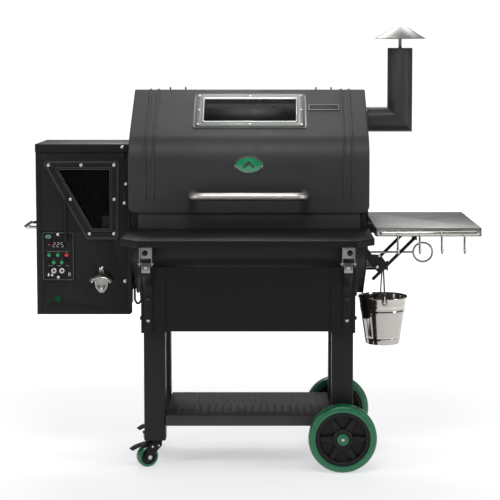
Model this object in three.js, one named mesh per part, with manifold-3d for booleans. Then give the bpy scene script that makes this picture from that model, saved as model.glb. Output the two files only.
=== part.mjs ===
// Pellet smoker grill: a hexagonal barrel on a wheeled cart, a pellet hopper on its left,
// a chimney and a folding shelf on its right, and a folding shelf across its front.
// Millimetres, +Z up, +X to the user's right, -Y towards the user.
import * as THREE from 'three';
import { mergeVertices } from 'three/addons/utils/BufferGeometryUtils.js';
import Module from 'manifold-3d';

const wasm = await Module();
wasm.setup();

// ---------------------------------------------------------------- driving dimensions
const gap = 0.4;                 // kept between parts that touch
const steel = 2.5;               // sheet thickness of the barrel and the cart
const barrelCentreY = 147;       // barrel centre plane, measured from the part's origin

const barrel = {
  halfDepth: 244, shoulderZ: 970, ridgeZ: 1129.5, hipZ: 645, keelZ: 484,
  shoulderR: 100, ridgeR: 12, hipR: 60, keelR: 80,
  left: -338, right: 344.5, shellInset: 6, panelInset: 4, panel: 3.5,
};
const lid = {
  left: -345.5, right: 352, bottom: 776, rearY: 56, sheet: 2.5, returnDepth: 10,
  hingeY: 64, hingeZ: 1112, pinR: 4, hingeX: [-219, 229], hingeWidth: 50,
};
const lidWindow = { x: 5, y: -98, frame: [336, 179], opening: [270, 113], cutout: [300, 143] };
const handle = { z: 828, standOff: 67, tubeR: 12, left: -164, right: 169, posts: [-152, 159] };
const cart = {
  legX: 280, legWidth: 64, legOuterY: 149, legDepth: 50, legFoot: 81, legTop: 545,
  sleeveHalfWidth: 36, sleeveY: 185, sleeveFoot: 413, skirtSetBack: 3,
  shelfHalfX: 247, shelfHalfY: 158, shelfTop: 161, shelfLip: 33,
};
const frontShelf = {
  left: -346, right: 351, back: -243, front: -534, top: 730, lip: 19, cornerX: 48, cornerY: 53,
};
const shelfHinge = {
  y: -258, z: 630, pinR: 3, channels: [-294.5, 291], channelWidth: 37, channelFront: -274, channelBack: -248,
  channelFoot: 622, footFront: -300, armWidth: 25, armFront: -262, armFoot: 412,
};
const wheel = {
  radius: 101.6, width: 45, y: 198, x: 279, rimR: 80.5, webR: 69, webHalf: 6, bossR: 30,
  axleR: 6, boreR: 6.5, shoulder: 9,
};
const caster = {
  radius: 31.75, width: 28, trail: 26, swivelX: -281, angle: 207, boltR: 4, cheek: 3, plateZ: 69, swivelR: 22,
};
const hopper = {
  left: -632.5, right: -348, halfDepth: 115, bottom: 457, top: 943, wall: 2, lidTop: 968,
  window: [[-612, 917], [-385, 917], [-389, 684], [-481, 684]],
  opening: [[-564, 891], [-413, 891], [-413, 716], [-465, 716]],
  panel: { left: -616, right: -520, bottom: 559, top: 706 },
  power: [-571, 505], hingeX: [-570, -410], hingeY: 123, fan: [70, 500], stepX: -366, stepZ: 526,
};
const panelButtons = {
  button_up: [-595, 636], button_down: [-569, 636], button_stop: [-543, 636],
  button_fan: [-581, 614], button_probe: [-557, 614],
};
const auger = { z: 560, tubeR: 27, tubeBore: 24, bladeR: 19, left: -485, right: -60, turns: 8 };
const chimney = {
  y: 40, z: 1035, radius: 38, wall: 1.5, elbowX: 462, top: 1253, strapZ: 1238,
  capZ: 1281, capTop: 1317, capR: 77.5, stemR: 5, stemZ: 1208,
};
const sideShelf = {
  left: 371, right: 680, halfDepth: 228, top: 730, lip: 25, pivotX: 364, pivotZ: 722, lugY: [-150, 150],
};
const rail = {
  left: 388, right: 668, z: 711, offset: 10, wireR: 3.5, hookX: [435, 499, 563, 629], hookR: 2.5,
};
const strut = { top: [488, 697], foot: [366, 575], ys: [-195, 31], radius: 5 };
const bucket = { x: 410, rimR: 76, baseR: 52, rimZ: 496, baseZ: 350, wall: 1.5, earZ: 486 };
const spout = { z: 588, radius: 13, wall: 1.5, left: 330, right: 425 };
const shieldRod = { y: -80, z: 640, radius: 3.2, ringX: 524, ringR: 28.7 };

// ---------------------------------------------------------------- materials
const paint = (color, roughness, metalness) => (
  new THREE.MeshStandardMaterial({ color, roughness, metalness })
);
const blackCoat = paint(0x232323, 0.55, 0.4);
const lidCoat = paint(0x2c2c2c, 0.45, 0.45);
const stainless = paint(0xb4b2ae, 0.32, 1.0);
const polished = paint(0xd8d8d6, 0.1, 1.0);
const darkGlass = paint(0x0c0c0d, 0.06, 0.0);
const greenPlastic = paint(0x0a6e40, 0.25, 0.0);
const redPlastic = paint(0xd02a20, 0.3, 0.0);
const blackPlastic = paint(0x141414, 0.4, 0.0);
const castIron = paint(0x2a2826, 0.8, 0.6);
const galvanised = paint(0x8e9092, 0.5, 0.9);

// ---------------------------------------------------------------- solids
function toSolid(geometry) {
  const bare = geometry.clone();
  bare.deleteAttribute('normal');
  bare.deleteAttribute('uv');
  const merged = mergeVertices(bare, 1e-4);
  return new wasm.Manifold(new wasm.Mesh({
    numProp: 3,
    vertProperties: new Float32Array(merged.attributes.position.array),
    triVerts: new Uint32Array(merged.index.array),
  }));
}

function toGeometry(solid) {
  const data = solid.getMesh();
  const geometry = new THREE.BufferGeometry();
  geometry.setAttribute('position', new THREE.BufferAttribute(new Float32Array(data.vertProperties), 3));
  geometry.setIndex(new THREE.BufferAttribute(new Uint32Array(data.triVerts), 1));
  return geometry;
}

const join = (...pieces) => toGeometry(pieces.map(toSolid).reduce((a, b) => a.add(b)));
const cut = (piece, ...tools) => toGeometry([piece, ...tools].map(toSolid).reduce((a, b) => a.subtract(b)));

const between = (a, b) => [Math.min(a, b), Math.max(a, b)];

// Box given by its two ends along each axis.
function slab([x0, x1], [y0, y1], [z0, z1]) {
  const box = new THREE.BoxGeometry(x1 - x0, y1 - y0, z1 - z0);
  return box.translate((x0 + x1) / 2, (y0 + y1) / 2, (z0 + z1) / 2);
}

// Flat outline [[a, b], ...] with holes, extruded between two values of the remaining axis.
function extrude(outline, [from, to], axis, holes = []) {
  const shape = new THREE.Shape(outline.map(([a, b]) => new THREE.Vector2(a, b)));
  holes.forEach((hole) => shape.holes.push(new THREE.Path(hole.map(([a, b]) => new THREE.Vector2(a, b)))));
  const geometry = new THREE.ExtrudeGeometry(shape, { depth: to - from, bevelEnabled: false });
  geometry.translate(0, 0, from);
  if (axis === 'x') {
    // outline is (y, z)
    geometry.applyMatrix4(new THREE.Matrix4().set(0, 0, 1, 0, 1, 0, 0, 0, 0, 1, 0, 0, 0, 0, 0, 1));
  } else if (axis === 'y') {
    // outline is (x, z)
    geometry.applyMatrix4(new THREE.Matrix4().set(1, 0, 0, 0, 0, 0, -1, from + to, 0, 1, 0, 0, 0, 0, 0, 1));
  }
  return geometry;
}

const turnTo = {
  x: new THREE.Matrix4().makeRotationZ(-Math.PI / 2),
  y: new THREE.Matrix4(),
  z: new THREE.Matrix4().makeRotationX(Math.PI / 2),
};

// Solid of revolution: profile [[radius, along], ...] about an axis through (x, y, z).
function turned(profile, axis, [x, y, z], segments = 24) {
  const points = profile.map(([r, a]) => new THREE.Vector2(r, a));
  const geometry = new THREE.LatheGeometry(points, segments);
  return geometry.applyMatrix4(turnTo[axis]).translate(x, y, z);
}

// Plain cylinder between two values along its axis.
function rod(radius, [from, to], axis, [a, b], segments = 10) {
  const place = { x: [0, a, b], y: [a, 0, b], z: [a, b, 0] }[axis];
  return turned([[0, from], [radius, from], [radius, to], [0, to]], axis, place, segments);
}

function ring(inner, outer, [from, to], axis, [a, b], segments = 16) {
  const place = { x: [0, a, b], y: [a, 0, b], z: [a, b, 0] }[axis];
  const profile = [[inner, from], [outer, from], [outer, to], [inner, to], [inner, from]];
  return turned(profile, axis, place, segments);
}

// Round bar through a list of points, mitred where it bends.
function bar(points, radius, sides = 8) {
  const path = points.map((p) => new THREE.Vector3(...p));
  const legs = path.slice(1).map((p, i) => p.clone().sub(path[i]).normalize());
  const side = new THREE.Vector3(0.31, 0.57, 0.76).cross(legs[0]).normalize();
  const up = legs[0].clone().cross(side);
  let section = [];
  for (let i = 0; i < sides; i += 1) {
    const angle = (2 * Math.PI * (i + 0.5)) / sides;
    const offset = side.clone().multiplyScalar(Math.cos(angle)).addScaledVector(up, Math.sin(angle));
    section.push(path[0].clone().addScaledVector(offset, radius));
  }
  const vertices = [...section];
  legs.forEach((leg, i) => {
    const normal = leg.clone().add(legs[i + 1] ?? leg).normalize();
    section = section.map((v) => {
      const reach = path[i + 1].clone().sub(v).dot(normal) / leg.dot(normal);
      return v.clone().addScaledVector(leg, reach);
    });
    vertices.push(...section);
  });
  const faces = [];
  for (let row = 0; row < legs.length; row += 1) {
    for (let i = 0; i < sides; i += 1) {
      const a = row * sides + i;
      const b = row * sides + ((i + 1) % sides);
      faces.push(a, b, a + sides, b, b + sides, a + sides);
    }
  }
  const last = legs.length * sides;
  for (let i = 1; i < sides - 1; i += 1) {
    faces.push(0, i + 1, i);
    faces.push(last, last + i, last + i + 1);
  }
  const geometry = new THREE.BufferGeometry();
  const positions = vertices.flatMap((v) => v.toArray());
  geometry.setAttribute('position', new THREE.Float32BufferAttribute(positions, 3));
  geometry.setIndex(faces);
  return geometry;
}

// ---------------------------------------------------------------- outlines
const unit = (from, to) => {
  const length = Math.hypot(to[0] - from[0], to[1] - from[1]);
  return [(to[0] - from[0]) / length, (to[1] - from[1]) / length];
};

// Corners [a, b, radius] become points, with each rounded corner as an arc.
function rounded(corners, closed = true, stepDegrees = 16) {
  const points = [];
  corners.forEach((corner, i) => {
    const before = corners[(i + corners.length - 1) % corners.length];
    const after = corners[(i + 1) % corners.length];
    const isEnd = !closed && (i === 0 || i === corners.length - 1);
    if (isEnd || !corner[2]) {
      points.push([corner[0], corner[1]]);
      return;
    }
    const [inX, inY] = unit(before, corner);
    const [outX, outY] = unit(corner, after);
    const turn = Math.atan2(inX * outY - inY * outX, inX * outX + inY * outY);
    const reach = corner[2] * Math.tan(Math.abs(turn) / 2);
    const side = Math.sign(turn);
    const tangent = [corner[0] - inX * reach, corner[1] - inY * reach];
    const centre = [tangent[0] - inY * side * corner[2], tangent[1] + inX * side * corner[2]];
    const start = Math.atan2(tangent[1] - centre[1], tangent[0] - centre[0]);
    const steps = Math.max(2, Math.ceil(Math.abs(turn) / THREE.MathUtils.degToRad(stepDegrees)));
    for (let s = 0; s <= steps; s += 1) {
      const angle = start + (turn * s) / steps;
      points.push([centre[0] + corner[2] * Math.cos(angle), centre[1] + corner[2] * Math.sin(angle)]);
    }
  });
  return points;
}

// Open run of corners moved sideways: positive is to the left of the direction of travel.
function shifted(corners, distance) {
  const lines = corners.slice(1).map((c, i) => {
    const [dx, dy] = unit(corners[i], c);
    return { p: [corners[i][0] - dy * distance, corners[i][1] + dx * distance], d: [dx, dy] };
  });
  return corners.map((corner, i) => {
    const a = lines[Math.max(0, i - 1)];
    const b = lines[Math.min(i, lines.length - 1)];
    if (a === b) {
      const along = (corner[0] - a.p[0]) * a.d[0] + (corner[1] - a.p[1]) * a.d[1];
      return [a.p[0] + a.d[0] * along, a.p[1] + a.d[1] * along, 0];
    }
    const cross = a.d[0] * b.d[1] - a.d[1] * b.d[0];
    const t = ((b.p[0] - a.p[0]) * b.d[1] - (b.p[1] - a.p[1]) * b.d[0]) / cross;
    const radius = Math.max(0, corner[2] - Math.sign(cross) * distance);
    return [a.p[0] + a.d[0] * t, a.p[1] + a.d[1] * t, radius];
  });
}

// Bent sheet: the corners give one face, and the sheet lies to the left of the direction of travel.
const bentSheet = (corners, thickness) => {
  const face = rounded(corners, false);
  const back = rounded(shifted(corners, thickness), false);
  return [...face, ...back.reverse()];
};

// Barrel cross-section in (y, z), `inset` inside the lid's outer face.
const roofSlope = (barrel.ridgeZ - barrel.shoulderZ) / barrel.halfDepth;
const bellySlope = (barrel.hipZ - barrel.keelZ) / barrel.halfDepth;
const roofAngle = Math.atan(roofSlope);
const bellyAngle = Math.atan(bellySlope);

function barrelCorners(inset) {
  const depth = barrel.halfDepth - inset;
  const shoulder = barrel.shoulderZ + inset * (roofSlope - 1 / Math.cos(roofAngle));
  const hip = barrel.hipZ - inset * (bellySlope - 1 / Math.cos(bellyAngle));
  return {
    frontHip: [-depth, hip, barrel.hipR - inset],
    frontShoulder: [-depth, shoulder, barrel.shoulderR - inset],
    ridge: [0, barrel.ridgeZ - inset / Math.cos(roofAngle), barrel.ridgeR - inset],
    rearShoulder: [depth, shoulder, barrel.shoulderR - inset],
    rearHip: [depth, hip, barrel.hipR - inset],
    keel: [0, barrel.keelZ + inset / Math.cos(bellyAngle), barrel.keelR - inset],
  };
}

function barrelOutline(inset) {
  const c = barrelCorners(inset);
  return rounded([c.frontHip, c.keel, c.rearHip, c.rearShoulder, c.ridge, c.frontShoulder]);
}

const roofZ = (y, inset = 0) => barrel.ridgeZ - Math.abs(y) * roofSlope - inset / Math.cos(roofAngle);

// ---------------------------------------------------------------- assembly
const grill = new THREE.Group();
const body = new THREE.Group();
body.position.set(0, barrelCentreY, 0);
grill.add(body);

function place(name, geometry, material, parent = body) {
  const mesh = new THREE.Mesh(geometry, material);
  mesh.name = name;
  parent.add(mesh);
  return mesh;
}

// ---------------------------------------------------------------- barrel
function barrelShell() {
  const c = barrelCorners(barrel.shellInset);
  const front = [c.frontHip[0], lid.bottom + 16, 0];
  const top = [46, roofZ(46, barrel.shellInset), 0];
  const run = [front, c.frontHip, c.keel, c.rearHip, c.rearShoulder, top];
  const wrap = extrude(bentSheet(run, steel), [barrel.left, barrel.right], 'x');
  const ears = [];
  lid.hingeX.forEach((x) => {
    [-1, 1].forEach((side) => {
      const earX = x + side * (lid.hingeWidth / 2 - 1.5);
      const rest = (y) => roofZ(y, barrel.shellInset + 1);
      const outline = [[78, rest(78)], [104, rest(104)], [74, 1134], [60, 1134], [57, 1108], [64, 1100]];
      ears.push(extrude(outline, [earX - 1.5, earX + 1.5], 'x'));
    });
    const half = lid.hingeWidth / 2 + 2;
    ears.push(rod(lid.pinR, [x - half, x + half], 'x', [lid.hingeY, lid.hingeZ]));
  });
  return join(wrap, ...ears);
}
place('barrel_shell', barrelShell(), blackCoat);

// End panel with its front return, its grate ledge and its openings.
function endPanel(side) {
  const inner = side < 0 ? barrel.left - gap : barrel.right + gap;
  const outer = inner + side * barrel.panel;
  const plate = extrude(barrelOutline(barrel.panelInset), between(inner, outer), 'x');
  const faceY = -(barrel.halfDepth - barrel.panelInset);
  const front = slab(between(inner - side * 18.5, outer), [faceY, faceY + 1.6], [668, 790]);
  const ledge = slab(between(inner - side * 16, outer), [-200, 200], [751, 757]);
  return { plate: join(plate, front, ledge), outer };
}

function rightPanel() {
  const { plate, outer } = endPanel(1);
  const through = [barrel.right - 1, outer + 1];
  const holes = [
    rod(chimney.radius - chimney.wall, through, 'x', [chimney.y, chimney.z], 24),
    rod(spout.radius + gap, through, 'x', [0, spout.z], 20),
    rod(shieldRod.radius + 1, through, 'x', [shieldRod.y, shieldRod.z]),
  ];
  const ears = sideShelf.lugY.flatMap((y) => [
    slab([outer - 1, sideShelf.pivotX + 5], [y - 14, y - 11], [708, 734]),
    slab([outer - 1, sideShelf.pivotX + 5], [y + 11, y + 14], [708, 734]),
    rod(3, [y - 16, y + 16], 'y', [sideShelf.pivotX, sideShelf.pivotZ]),
  ]);
  return join(cut(plate, ...holes), ...ears);
}

function leftPanel() {
  const { plate, outer } = endPanel(-1);
  return cut(plate, rod(auger.tubeR + gap, [outer - 1, barrel.left + 1], 'x', [0, auger.z], 24));
}
place('end_panel_left', leftPanel(), blackCoat);
place('end_panel_right', rightPanel(), blackCoat);

function cookingGrate() {
  const [halfX, halfY, pitch, barWidth] = [330, 222, 27, 6];
  const slots = [];
  for (let x = -halfX + barWidth; x + pitch <= halfX; x += pitch) {
    slots.push(slab([x, x + pitch - barWidth], [-halfY + barWidth, halfY - barWidth], [750, 770]));
  }
  const bars = cut(slab([-halfX, halfX], [-halfY, halfY], [757.4, 763.4]), ...slots);
  return bars.translate((barrel.left + barrel.right) / 2, 0, 0);
}
place('cooking_grate', cookingGrate(), castIron);

function dripTray() {
  const top = [[-320, 722], [318, 694], [318, 715]];
  const run = [[top[0][0], top[0][1], 0], [top[1][0], top[1][1], 0], [top[2][0], top[2][1], 0]];
  const plate = extrude(bentSheet(run, 2), [-205, 205], 'y');
  const wall = [[-320, 722], [318, 694], [318, 712], [-320, 740]];
  const sides = [-205, 203].map((y) => extrude(wall, [y, y + 2], 'y'));
  return cut(join(plate, ...sides), rod(9, [680, 710], 'z', [296, 0]));
}
place('drip_tray', dripTray(), galvanised);

// Diffuser plate over the fire, moved by a rod that ends in a pull ring outside the right panel.
function heatShield() {
  const plate = slab([-75, 125], [-90, 78], [637, 641]);
  const post = slab([110, 122], [shieldRod.y - 6, shieldRod.y + 6], [634, 646]);
  const reach = [116, shieldRod.ringX - shieldRod.ringR + 2];
  const shaft = rod(shieldRod.radius, reach, 'x', [shieldRod.y, shieldRod.z], 12);
  const loop = new THREE.TorusGeometry(shieldRod.ringR, shieldRod.radius, 6, 20);
  loop.rotateX(Math.PI / 2).translate(shieldRod.ringX, shieldRod.y, shieldRod.z);
  return join(plate, post, shaft, loop);
}
place('heat_shield', heatShield(), stainless);

function firePot() {
  const tube = cut(
    rod(auger.tubeR, [auger.left + 4, auger.right], 'x', [0, auger.z], 24),
    rod(auger.tubeBore, [auger.left, auger.right + 5], 'x', [0, auger.z], 24),
    slab([hopper.right - 112, hopper.right - 16], [-18, 18], [auger.z + 10, auger.z + 40]),
  );
  const pot = slab([auger.right - 6, 60], [-45, 45], [531, 618]);
  const bowl = slab([auger.right - 3, 57], [-42, 42], [534, 630]);
  const mouth = rod(auger.tubeBore, [auger.right - 20, auger.right], 'x', [0, auger.z], 24);
  return cut(join(cut(pot, bowl), tube), mouth, rod(4.5, [40, 70], 'x', [0, 545], 12));
}
place('fire_pot', firePot(), castIron);

// Flat bar twisted into a screw, with a round drive shaft on its left end.
function augerScrew() {
  const steps = auger.turns * 8;
  const start = auger.left + 30;
  const length = auger.right - 10 - start;
  const corners = [[-auger.bladeR, -2.5], [auger.bladeR, -2.5], [auger.bladeR, 2.5], [-auger.bladeR, 2.5]];
  const vertices = [];
  const faces = [];
  for (let i = 0; i <= steps; i += 1) {
    const angle = (Math.PI * 2 * auger.turns * i) / steps;
    corners.forEach(([a, b]) => {
      const across = a * Math.cos(angle) - b * Math.sin(angle);
      const above = a * Math.sin(angle) + b * Math.cos(angle);
      vertices.push(start + (length * i) / steps, across, auger.z + above);
    });
    if (i === steps) break;
    corners.forEach((_, j) => {
      const a = i * 4 + j;
      const b = i * 4 + ((j + 1) % 4);
      faces.push(a, b, a + 4, b, b + 4, a + 4);
    });
  }
  const end = steps * 4;
  faces.push(0, 2, 1, 0, 3, 2, end, end + 1, end + 2, end, end + 2, end + 3);
  const screw = new THREE.BufferGeometry();
  screw.setAttribute('position', new THREE.Float32BufferAttribute(vertices, 3));
  screw.setIndex(faces);
  return join(screw, rod(6, [auger.left + 1, start + 4], 'x', [0, auger.z], 12));
}
place('auger', augerScrew(), galvanised);

place('auger_motor', join(
  rod(27, [-574, auger.left - 1], 'x', [0, auger.z], 20),
  slab([-530, auger.left - 0.5], [-34, 34], [auger.z - 30, auger.z + 26]),
), galvanised);

// ---------------------------------------------------------------- lid
// The lid's outer face from its rear edge over the ridge to its lower front edge, `short` of both ends.
function lidRun(inset = 0, short = 0) {
  const c = barrelCorners(inset);
  const rearY = lid.rearY - short;
  return [[rearY, roofZ(rearY, inset), 0], c.ridge, c.frontShoulder, [c.frontHip[0], lid.bottom + short, 0]];
}

const roofFrame = new THREE.Matrix4()
  .makeRotationX(roofAngle)
  .setPosition(lidWindow.x, lidWindow.y, roofZ(lidWindow.y));

// Plate lying on the front roof slope: width across, length up the slope, between two heights.
const onRoof = ([width, length], [from, to]) =>
  slab([-width / 2, width / 2], [-length / 2, length / 2], [from, to]).applyMatrix4(roofFrame);

function lidShell() {
  const skin = extrude(bentSheet(lidRun(), lid.sheet), [lid.left, lid.right], 'x');
  const rim = bentSheet(lidRun(1, 1), lid.returnDepth - 1);
  const returns = [[lid.left, lid.left + lid.sheet], [lid.right - lid.sheet, lid.right]];
  const knuckles = lid.hingeX.flatMap((x) => {
    const span = [x - lid.hingeWidth / 2 + 4, x + lid.hingeWidth / 2 - 4];
    const arm = [[26, roofZ(26) - 1], [52, roofZ(52) - 1], [64, 1105], [58, 1113]];
    return [extrude(arm, span, 'x'), rod(lid.pinR + 3, span, 'x', [lid.hingeY, lid.hingeZ], 20)];
  });
  const hinge = [lid.hingeY, lid.hingeZ];
  const bores = lid.hingeX.map((x) => rod(lid.pinR + 0.6, [x - 40, x + 40], 'x', hinge, 20));
  const shell = join(skin, ...returns.map((span) => extrude(rim, span, 'x')), ...knuckles);
  return cut(shell, ...bores, onRoof(lidWindow.cutout, [-20, 20]));
}
place('lid', lidShell(), lidCoat);

place('lid_window_frame', cut(
  onRoof(lidWindow.frame, [gap, 6]),
  onRoof(lidWindow.opening, [-5, 20]),
), stainless);
place('lid_glass', onRoof([lidWindow.cutout[0] - 4, lidWindow.cutout[1] - 4], [-3.5, 0]), darkGlass);

function lidHandle() {
  const face = -barrel.halfDepth - gap;
  const barY = -barrel.halfDepth - handle.standOff;
  const tube = rod(handle.tubeR, [handle.left, handle.right], 'x', [barY, handle.z], 14);
  const posts = handle.posts.flatMap((x) => [
    rod(handle.tubeR, [barY, face - 1], 'y', [x, handle.z], 14),
    rod(17, [face - 7, face], 'y', [x, handle.z], 12),
  ]);
  return join(tube, ...posts);
}
place('lid_handle', lidHandle(), stainless);

// ---------------------------------------------------------------- chimney
function chimneyPipe() {
  const start = barrel.right + gap + barrel.panel + gap;
  const { elbowX, y, z, radius } = chimney;
  const run = (from, top) => [[from, y, z], [elbowX, y, z], [elbowX, y, top]];
  const outside = bar(run(start, chimney.top), radius, 20);
  const inside = bar(run(start - 5, chimney.top + 5), radius - chimney.wall, 20);
  const flange = ring(radius - 1, radius + 4, [start, start + 2], 'x', [y, z], 20);
  const reach = radius - 0.5;
  const strapHeights = [chimney.strapZ, chimney.strapZ + 2];
  const strap = slab([elbowX - reach, elbowX + reach], [y - 6, y + 6], strapHeights);
  const stemHole = rod(chimney.stemR + 1, [chimney.strapZ - 5, chimney.strapZ + 9], 'z', [elbowX, y]);
  return cut(join(cut(outside, inside), flange, strap), stemHole);
}
place('chimney_pipe', chimneyPipe(), blackCoat);

function chimneyCap() {
  const { capZ, capTop, capR, stemR, stemZ } = chimney;
  const profile = [
    [0, stemZ], [stemR, stemZ], [stemR, capTop - 4], [18, capTop - 4], [capR - 3, capZ],
    [capR, capZ], [20, capTop], [0, capTop],
  ];
  return turned(profile, 'z', [chimney.elbowX, chimney.y, 0], 24);
}
place('chimney_cap', chimneyCap(), stainless);

// ---------------------------------------------------------------- cart
const corners = [[-1, -1], [1, -1], [-1, 1], [1, 1]];
const cornerName = ([sx, sy]) => `${sy < 0 ? 'front' : 'rear'}_${sx < 0 ? 'left' : 'right'}`;

function leg([sx, sy]) {
  const x = sx * cart.legX;
  const half = cart.legWidth / 2;
  const ys = between(sy * cart.legOuterY, sy * (cart.legOuterY - cart.legDepth));
  const tube = slab([x - half, x + half], ys, [cart.legFoot, cart.legTop]);
  const heights = [cart.legFoot + 4, cart.legTop + 5];
  const bore = slab([x - half + 2, x + half - 2], [ys[0] + 2, ys[1] - 2], heights);
  if (sx < 0) return cut(tube, bore);
  return cut(tube, bore, rod(wheel.axleR + gap, [ys[0] - 5, ys[1] + 5], 'y', [wheel.x, wheel.radius]));
}
corners.forEach((corner) => place(`leg_${cornerName(corner)}`, leg(corner), blackCoat));

// Sheet box under the barrel: four open-backed sleeves over the legs, with skirts between them.
function cradle() {
  const outX = cart.legX + cart.sleeveHalfWidth;
  const inX = cart.legX - cart.sleeveHalfWidth;
  const y = cart.sleeveY;
  const heights = [cart.sleeveFoot, barrel.hipZ + 20];
  const tall = [cart.sleeveFoot - 5, barrel.hipZ + 30];
  const inside = slab([-outX + steel, outX - steel], [-y + steel, y - steel], tall);
  const box = cut(slab([-outX, outX], [-y, y], heights), inside);
  const webEnd = cart.legOuterY - cart.legDepth - 2;
  const webs = corners.map(([sx, sy]) => slab(
    between(sx * inX, sx * (inX + steel)), between(sy * (y - 1), sy * webEnd), heights,
  ));
  const setBack = [-1, 1].map((side) => slab(
    [-inX, inX], between(side * (y + 5), side * (y - steel - 0.5)), tall,
  ));
  const skirtY = y - cart.skirtSetBack;
  const skirts = [-1, 1].map((side) => slab(
    [-inX - 1, inX + 1],
    between(side * skirtY, side * (skirtY - steel)),
    [cart.sleeveFoot + 4, barrel.hipZ + 20],
  ));
  const walls = join(cut(box, ...setBack), ...webs, ...skirts);
  return cut(walls, extrude(barrelOutline(barrel.panelInset - 0.6), [-400, 400], 'x'));
}
place('cradle', cradle(), blackCoat);

function tray([x0, x1], [y0, y1], top, lip, sheet) {
  return cut(
    slab([x0, x1], [y0, y1], [top - lip, top]),
    slab([x0 + sheet, x1 - sheet], [y0 + sheet, y1 - sheet], [top - lip - 5, top - sheet]),
  );
}
place('bottom_shelf', tray(
  [-cart.shelfHalfX, cart.shelfHalfX], [-cart.shelfHalfY, cart.shelfHalfY], cart.shelfTop, cart.shelfLip, 2,
), blackCoat);

place('wheel_axle', rod(wheel.axleR, [-wheel.y - 26, wheel.y + 26], 'y', [wheel.x, wheel.radius]), stainless);

// ---------------------------------------------------------------- large wheels
function tyre() {
  const half = wheel.width / 2;
  const r = wheel.radius;
  const inner = wheel.rimR + gap;
  const s = wheel.shoulder;
  const profile = [
    [inner, -half], [r - s, -half], [r, -half + s], [r, half - s], [r - s, half], [inner, half],
    [inner, -half],
  ];
  return turned(profile, 'y', [0, 0, 0], 36);
}

function rim() {
  const half = wheel.width / 2 - 3;
  const { boreR, bossR, webR, webHalf, rimR } = wheel;
  const profile = [
    [boreR, -half], [bossR, -half], [bossR, -webHalf], [webR, -webHalf], [webR, -half],
    [rimR, -half], [rimR, half], [webR, half], [webR, webHalf], [bossR, webHalf],
    [bossR, half], [boreR, half], [boreR, -half],
  ];
  return turned(profile, 'y', [0, 0, 0], 24);
}

[['front', -1], ['rear', 1]].forEach(([end, side]) => {
  const hub = new THREE.Group();
  hub.position.set(wheel.x, side * wheel.y, wheel.radius);
  body.add(hub);
  place(`tyre_${end}`, tyre(), greenPlastic, hub);
  place(`rim_${end}`, rim(), blackPlastic, hub);
});

// ---------------------------------------------------------------- braked casters
// Built about the swivel axis, with the wheel trailing along +X.
function casterFork() {
  const cheek = (y) => {
    const top = caster.plateZ + 3;
    const outline = [[-14, top - 6], [-16, top], [26, top], [36, 40], [35, 24], [17, 24], [8, 40]];
    return extrude(outline, [y, y + caster.cheek], 'y');
  };
  const half = caster.width / 2 + 2;
  return join(
    cheek(-half - caster.cheek),
    cheek(half),
    slab([-16, 26], [-half - 2, half + 2], [caster.plateZ, caster.plateZ + 4]),
    rod(caster.swivelR, [caster.plateZ + 3, cart.legFoot - gap], 'z', [0, 0], 16),
    rod(caster.boltR, [-half - 7, half + 7], 'y', [caster.trail, caster.radius], 12),
  );
}

function casterWheel() {
  const half = caster.width / 2;
  const r = caster.radius;
  const profile = [
    [caster.boltR + 0.5, -half], [r - 3, -half], [r, -half + 4], [r, half - 4], [r - 3, half],
    [caster.boltR + 0.5, half], [caster.boltR + 0.5, -half],
  ];
  return turned(profile, 'y', [caster.trail, 0, r], 24);
}

// Brake pedal, hinged on a pin behind the fork's top plate.
function casterPedal() {
  const outline = [
    [27.5, 69.5], [31, 74], [64, 66], [79, 58], [78, 55], [62, 61.5], [44, 66], [33, 67.5], [28.5, 67],
  ];
  return extrude(outline, [-13, 13], 'y');
}

[['front', -1], ['rear', 1]].forEach(([end, side]) => {
  const swivel = new THREE.Group();
  swivel.position.set(caster.swivelX, side * (cart.legOuterY - cart.legDepth / 2), 0);
  swivel.rotation.z = THREE.MathUtils.degToRad(caster.angle);
  body.add(swivel);
  place(`caster_fork_${end}`, casterFork(), blackPlastic, swivel);
  place(`caster_wheel_${end}`, casterWheel(), greenPlastic, swivel);
  place(`caster_brake_${end}`, casterPedal(), blackPlastic, swivel);
});

// ---------------------------------------------------------------- front shelf
function frontShelfTray() {
  const { left, right, back, front, top, lip, cornerX, cornerY } = frontShelf;
  const outline = (d) => {
    const miter = d * 0.4;
    return [
      [left + d, back - d], [left + d, front + cornerY + miter], [left + cornerX + miter, front + d],
      [right - cornerX - miter, front + d], [right - d, front + cornerY + miter], [right - d, back - d],
    ];
  };
  const under = extrude(outline(2), [top - lip - 5, top - 2], 'z');
  return cut(extrude(outline(0), [top - lip, top], 'z'), under);
}
place('front_shelf', frontShelfTray(), blackCoat);

// Channel under the shelf that turns on the arm's pin.
function shelfChannel(x) {
  const { channelFront: front, channelBack: back, channelFoot, footFront, pinR, y, z } = shelfHinge;
  const half = shelfHinge.channelWidth / 2;
  const head = frontShelf.top - 2.4;
  const web = slab([x - half, x + half], [back - 2, back], [z + 13, head]);
  const sides = [-half, half - 2].map((dx) => slab([x + dx, x + dx + 2], [front, back], [channelFoot, head]));
  const foot = slab([x - half, x + half], [footFront, back - 1], [head - 2, head]);
  const hole = rod(pinR + 0.6, [x - half - 5, x + half + 5], 'x', [y, z]);
  return cut(join(web, ...sides, foot), hole);
}

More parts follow.
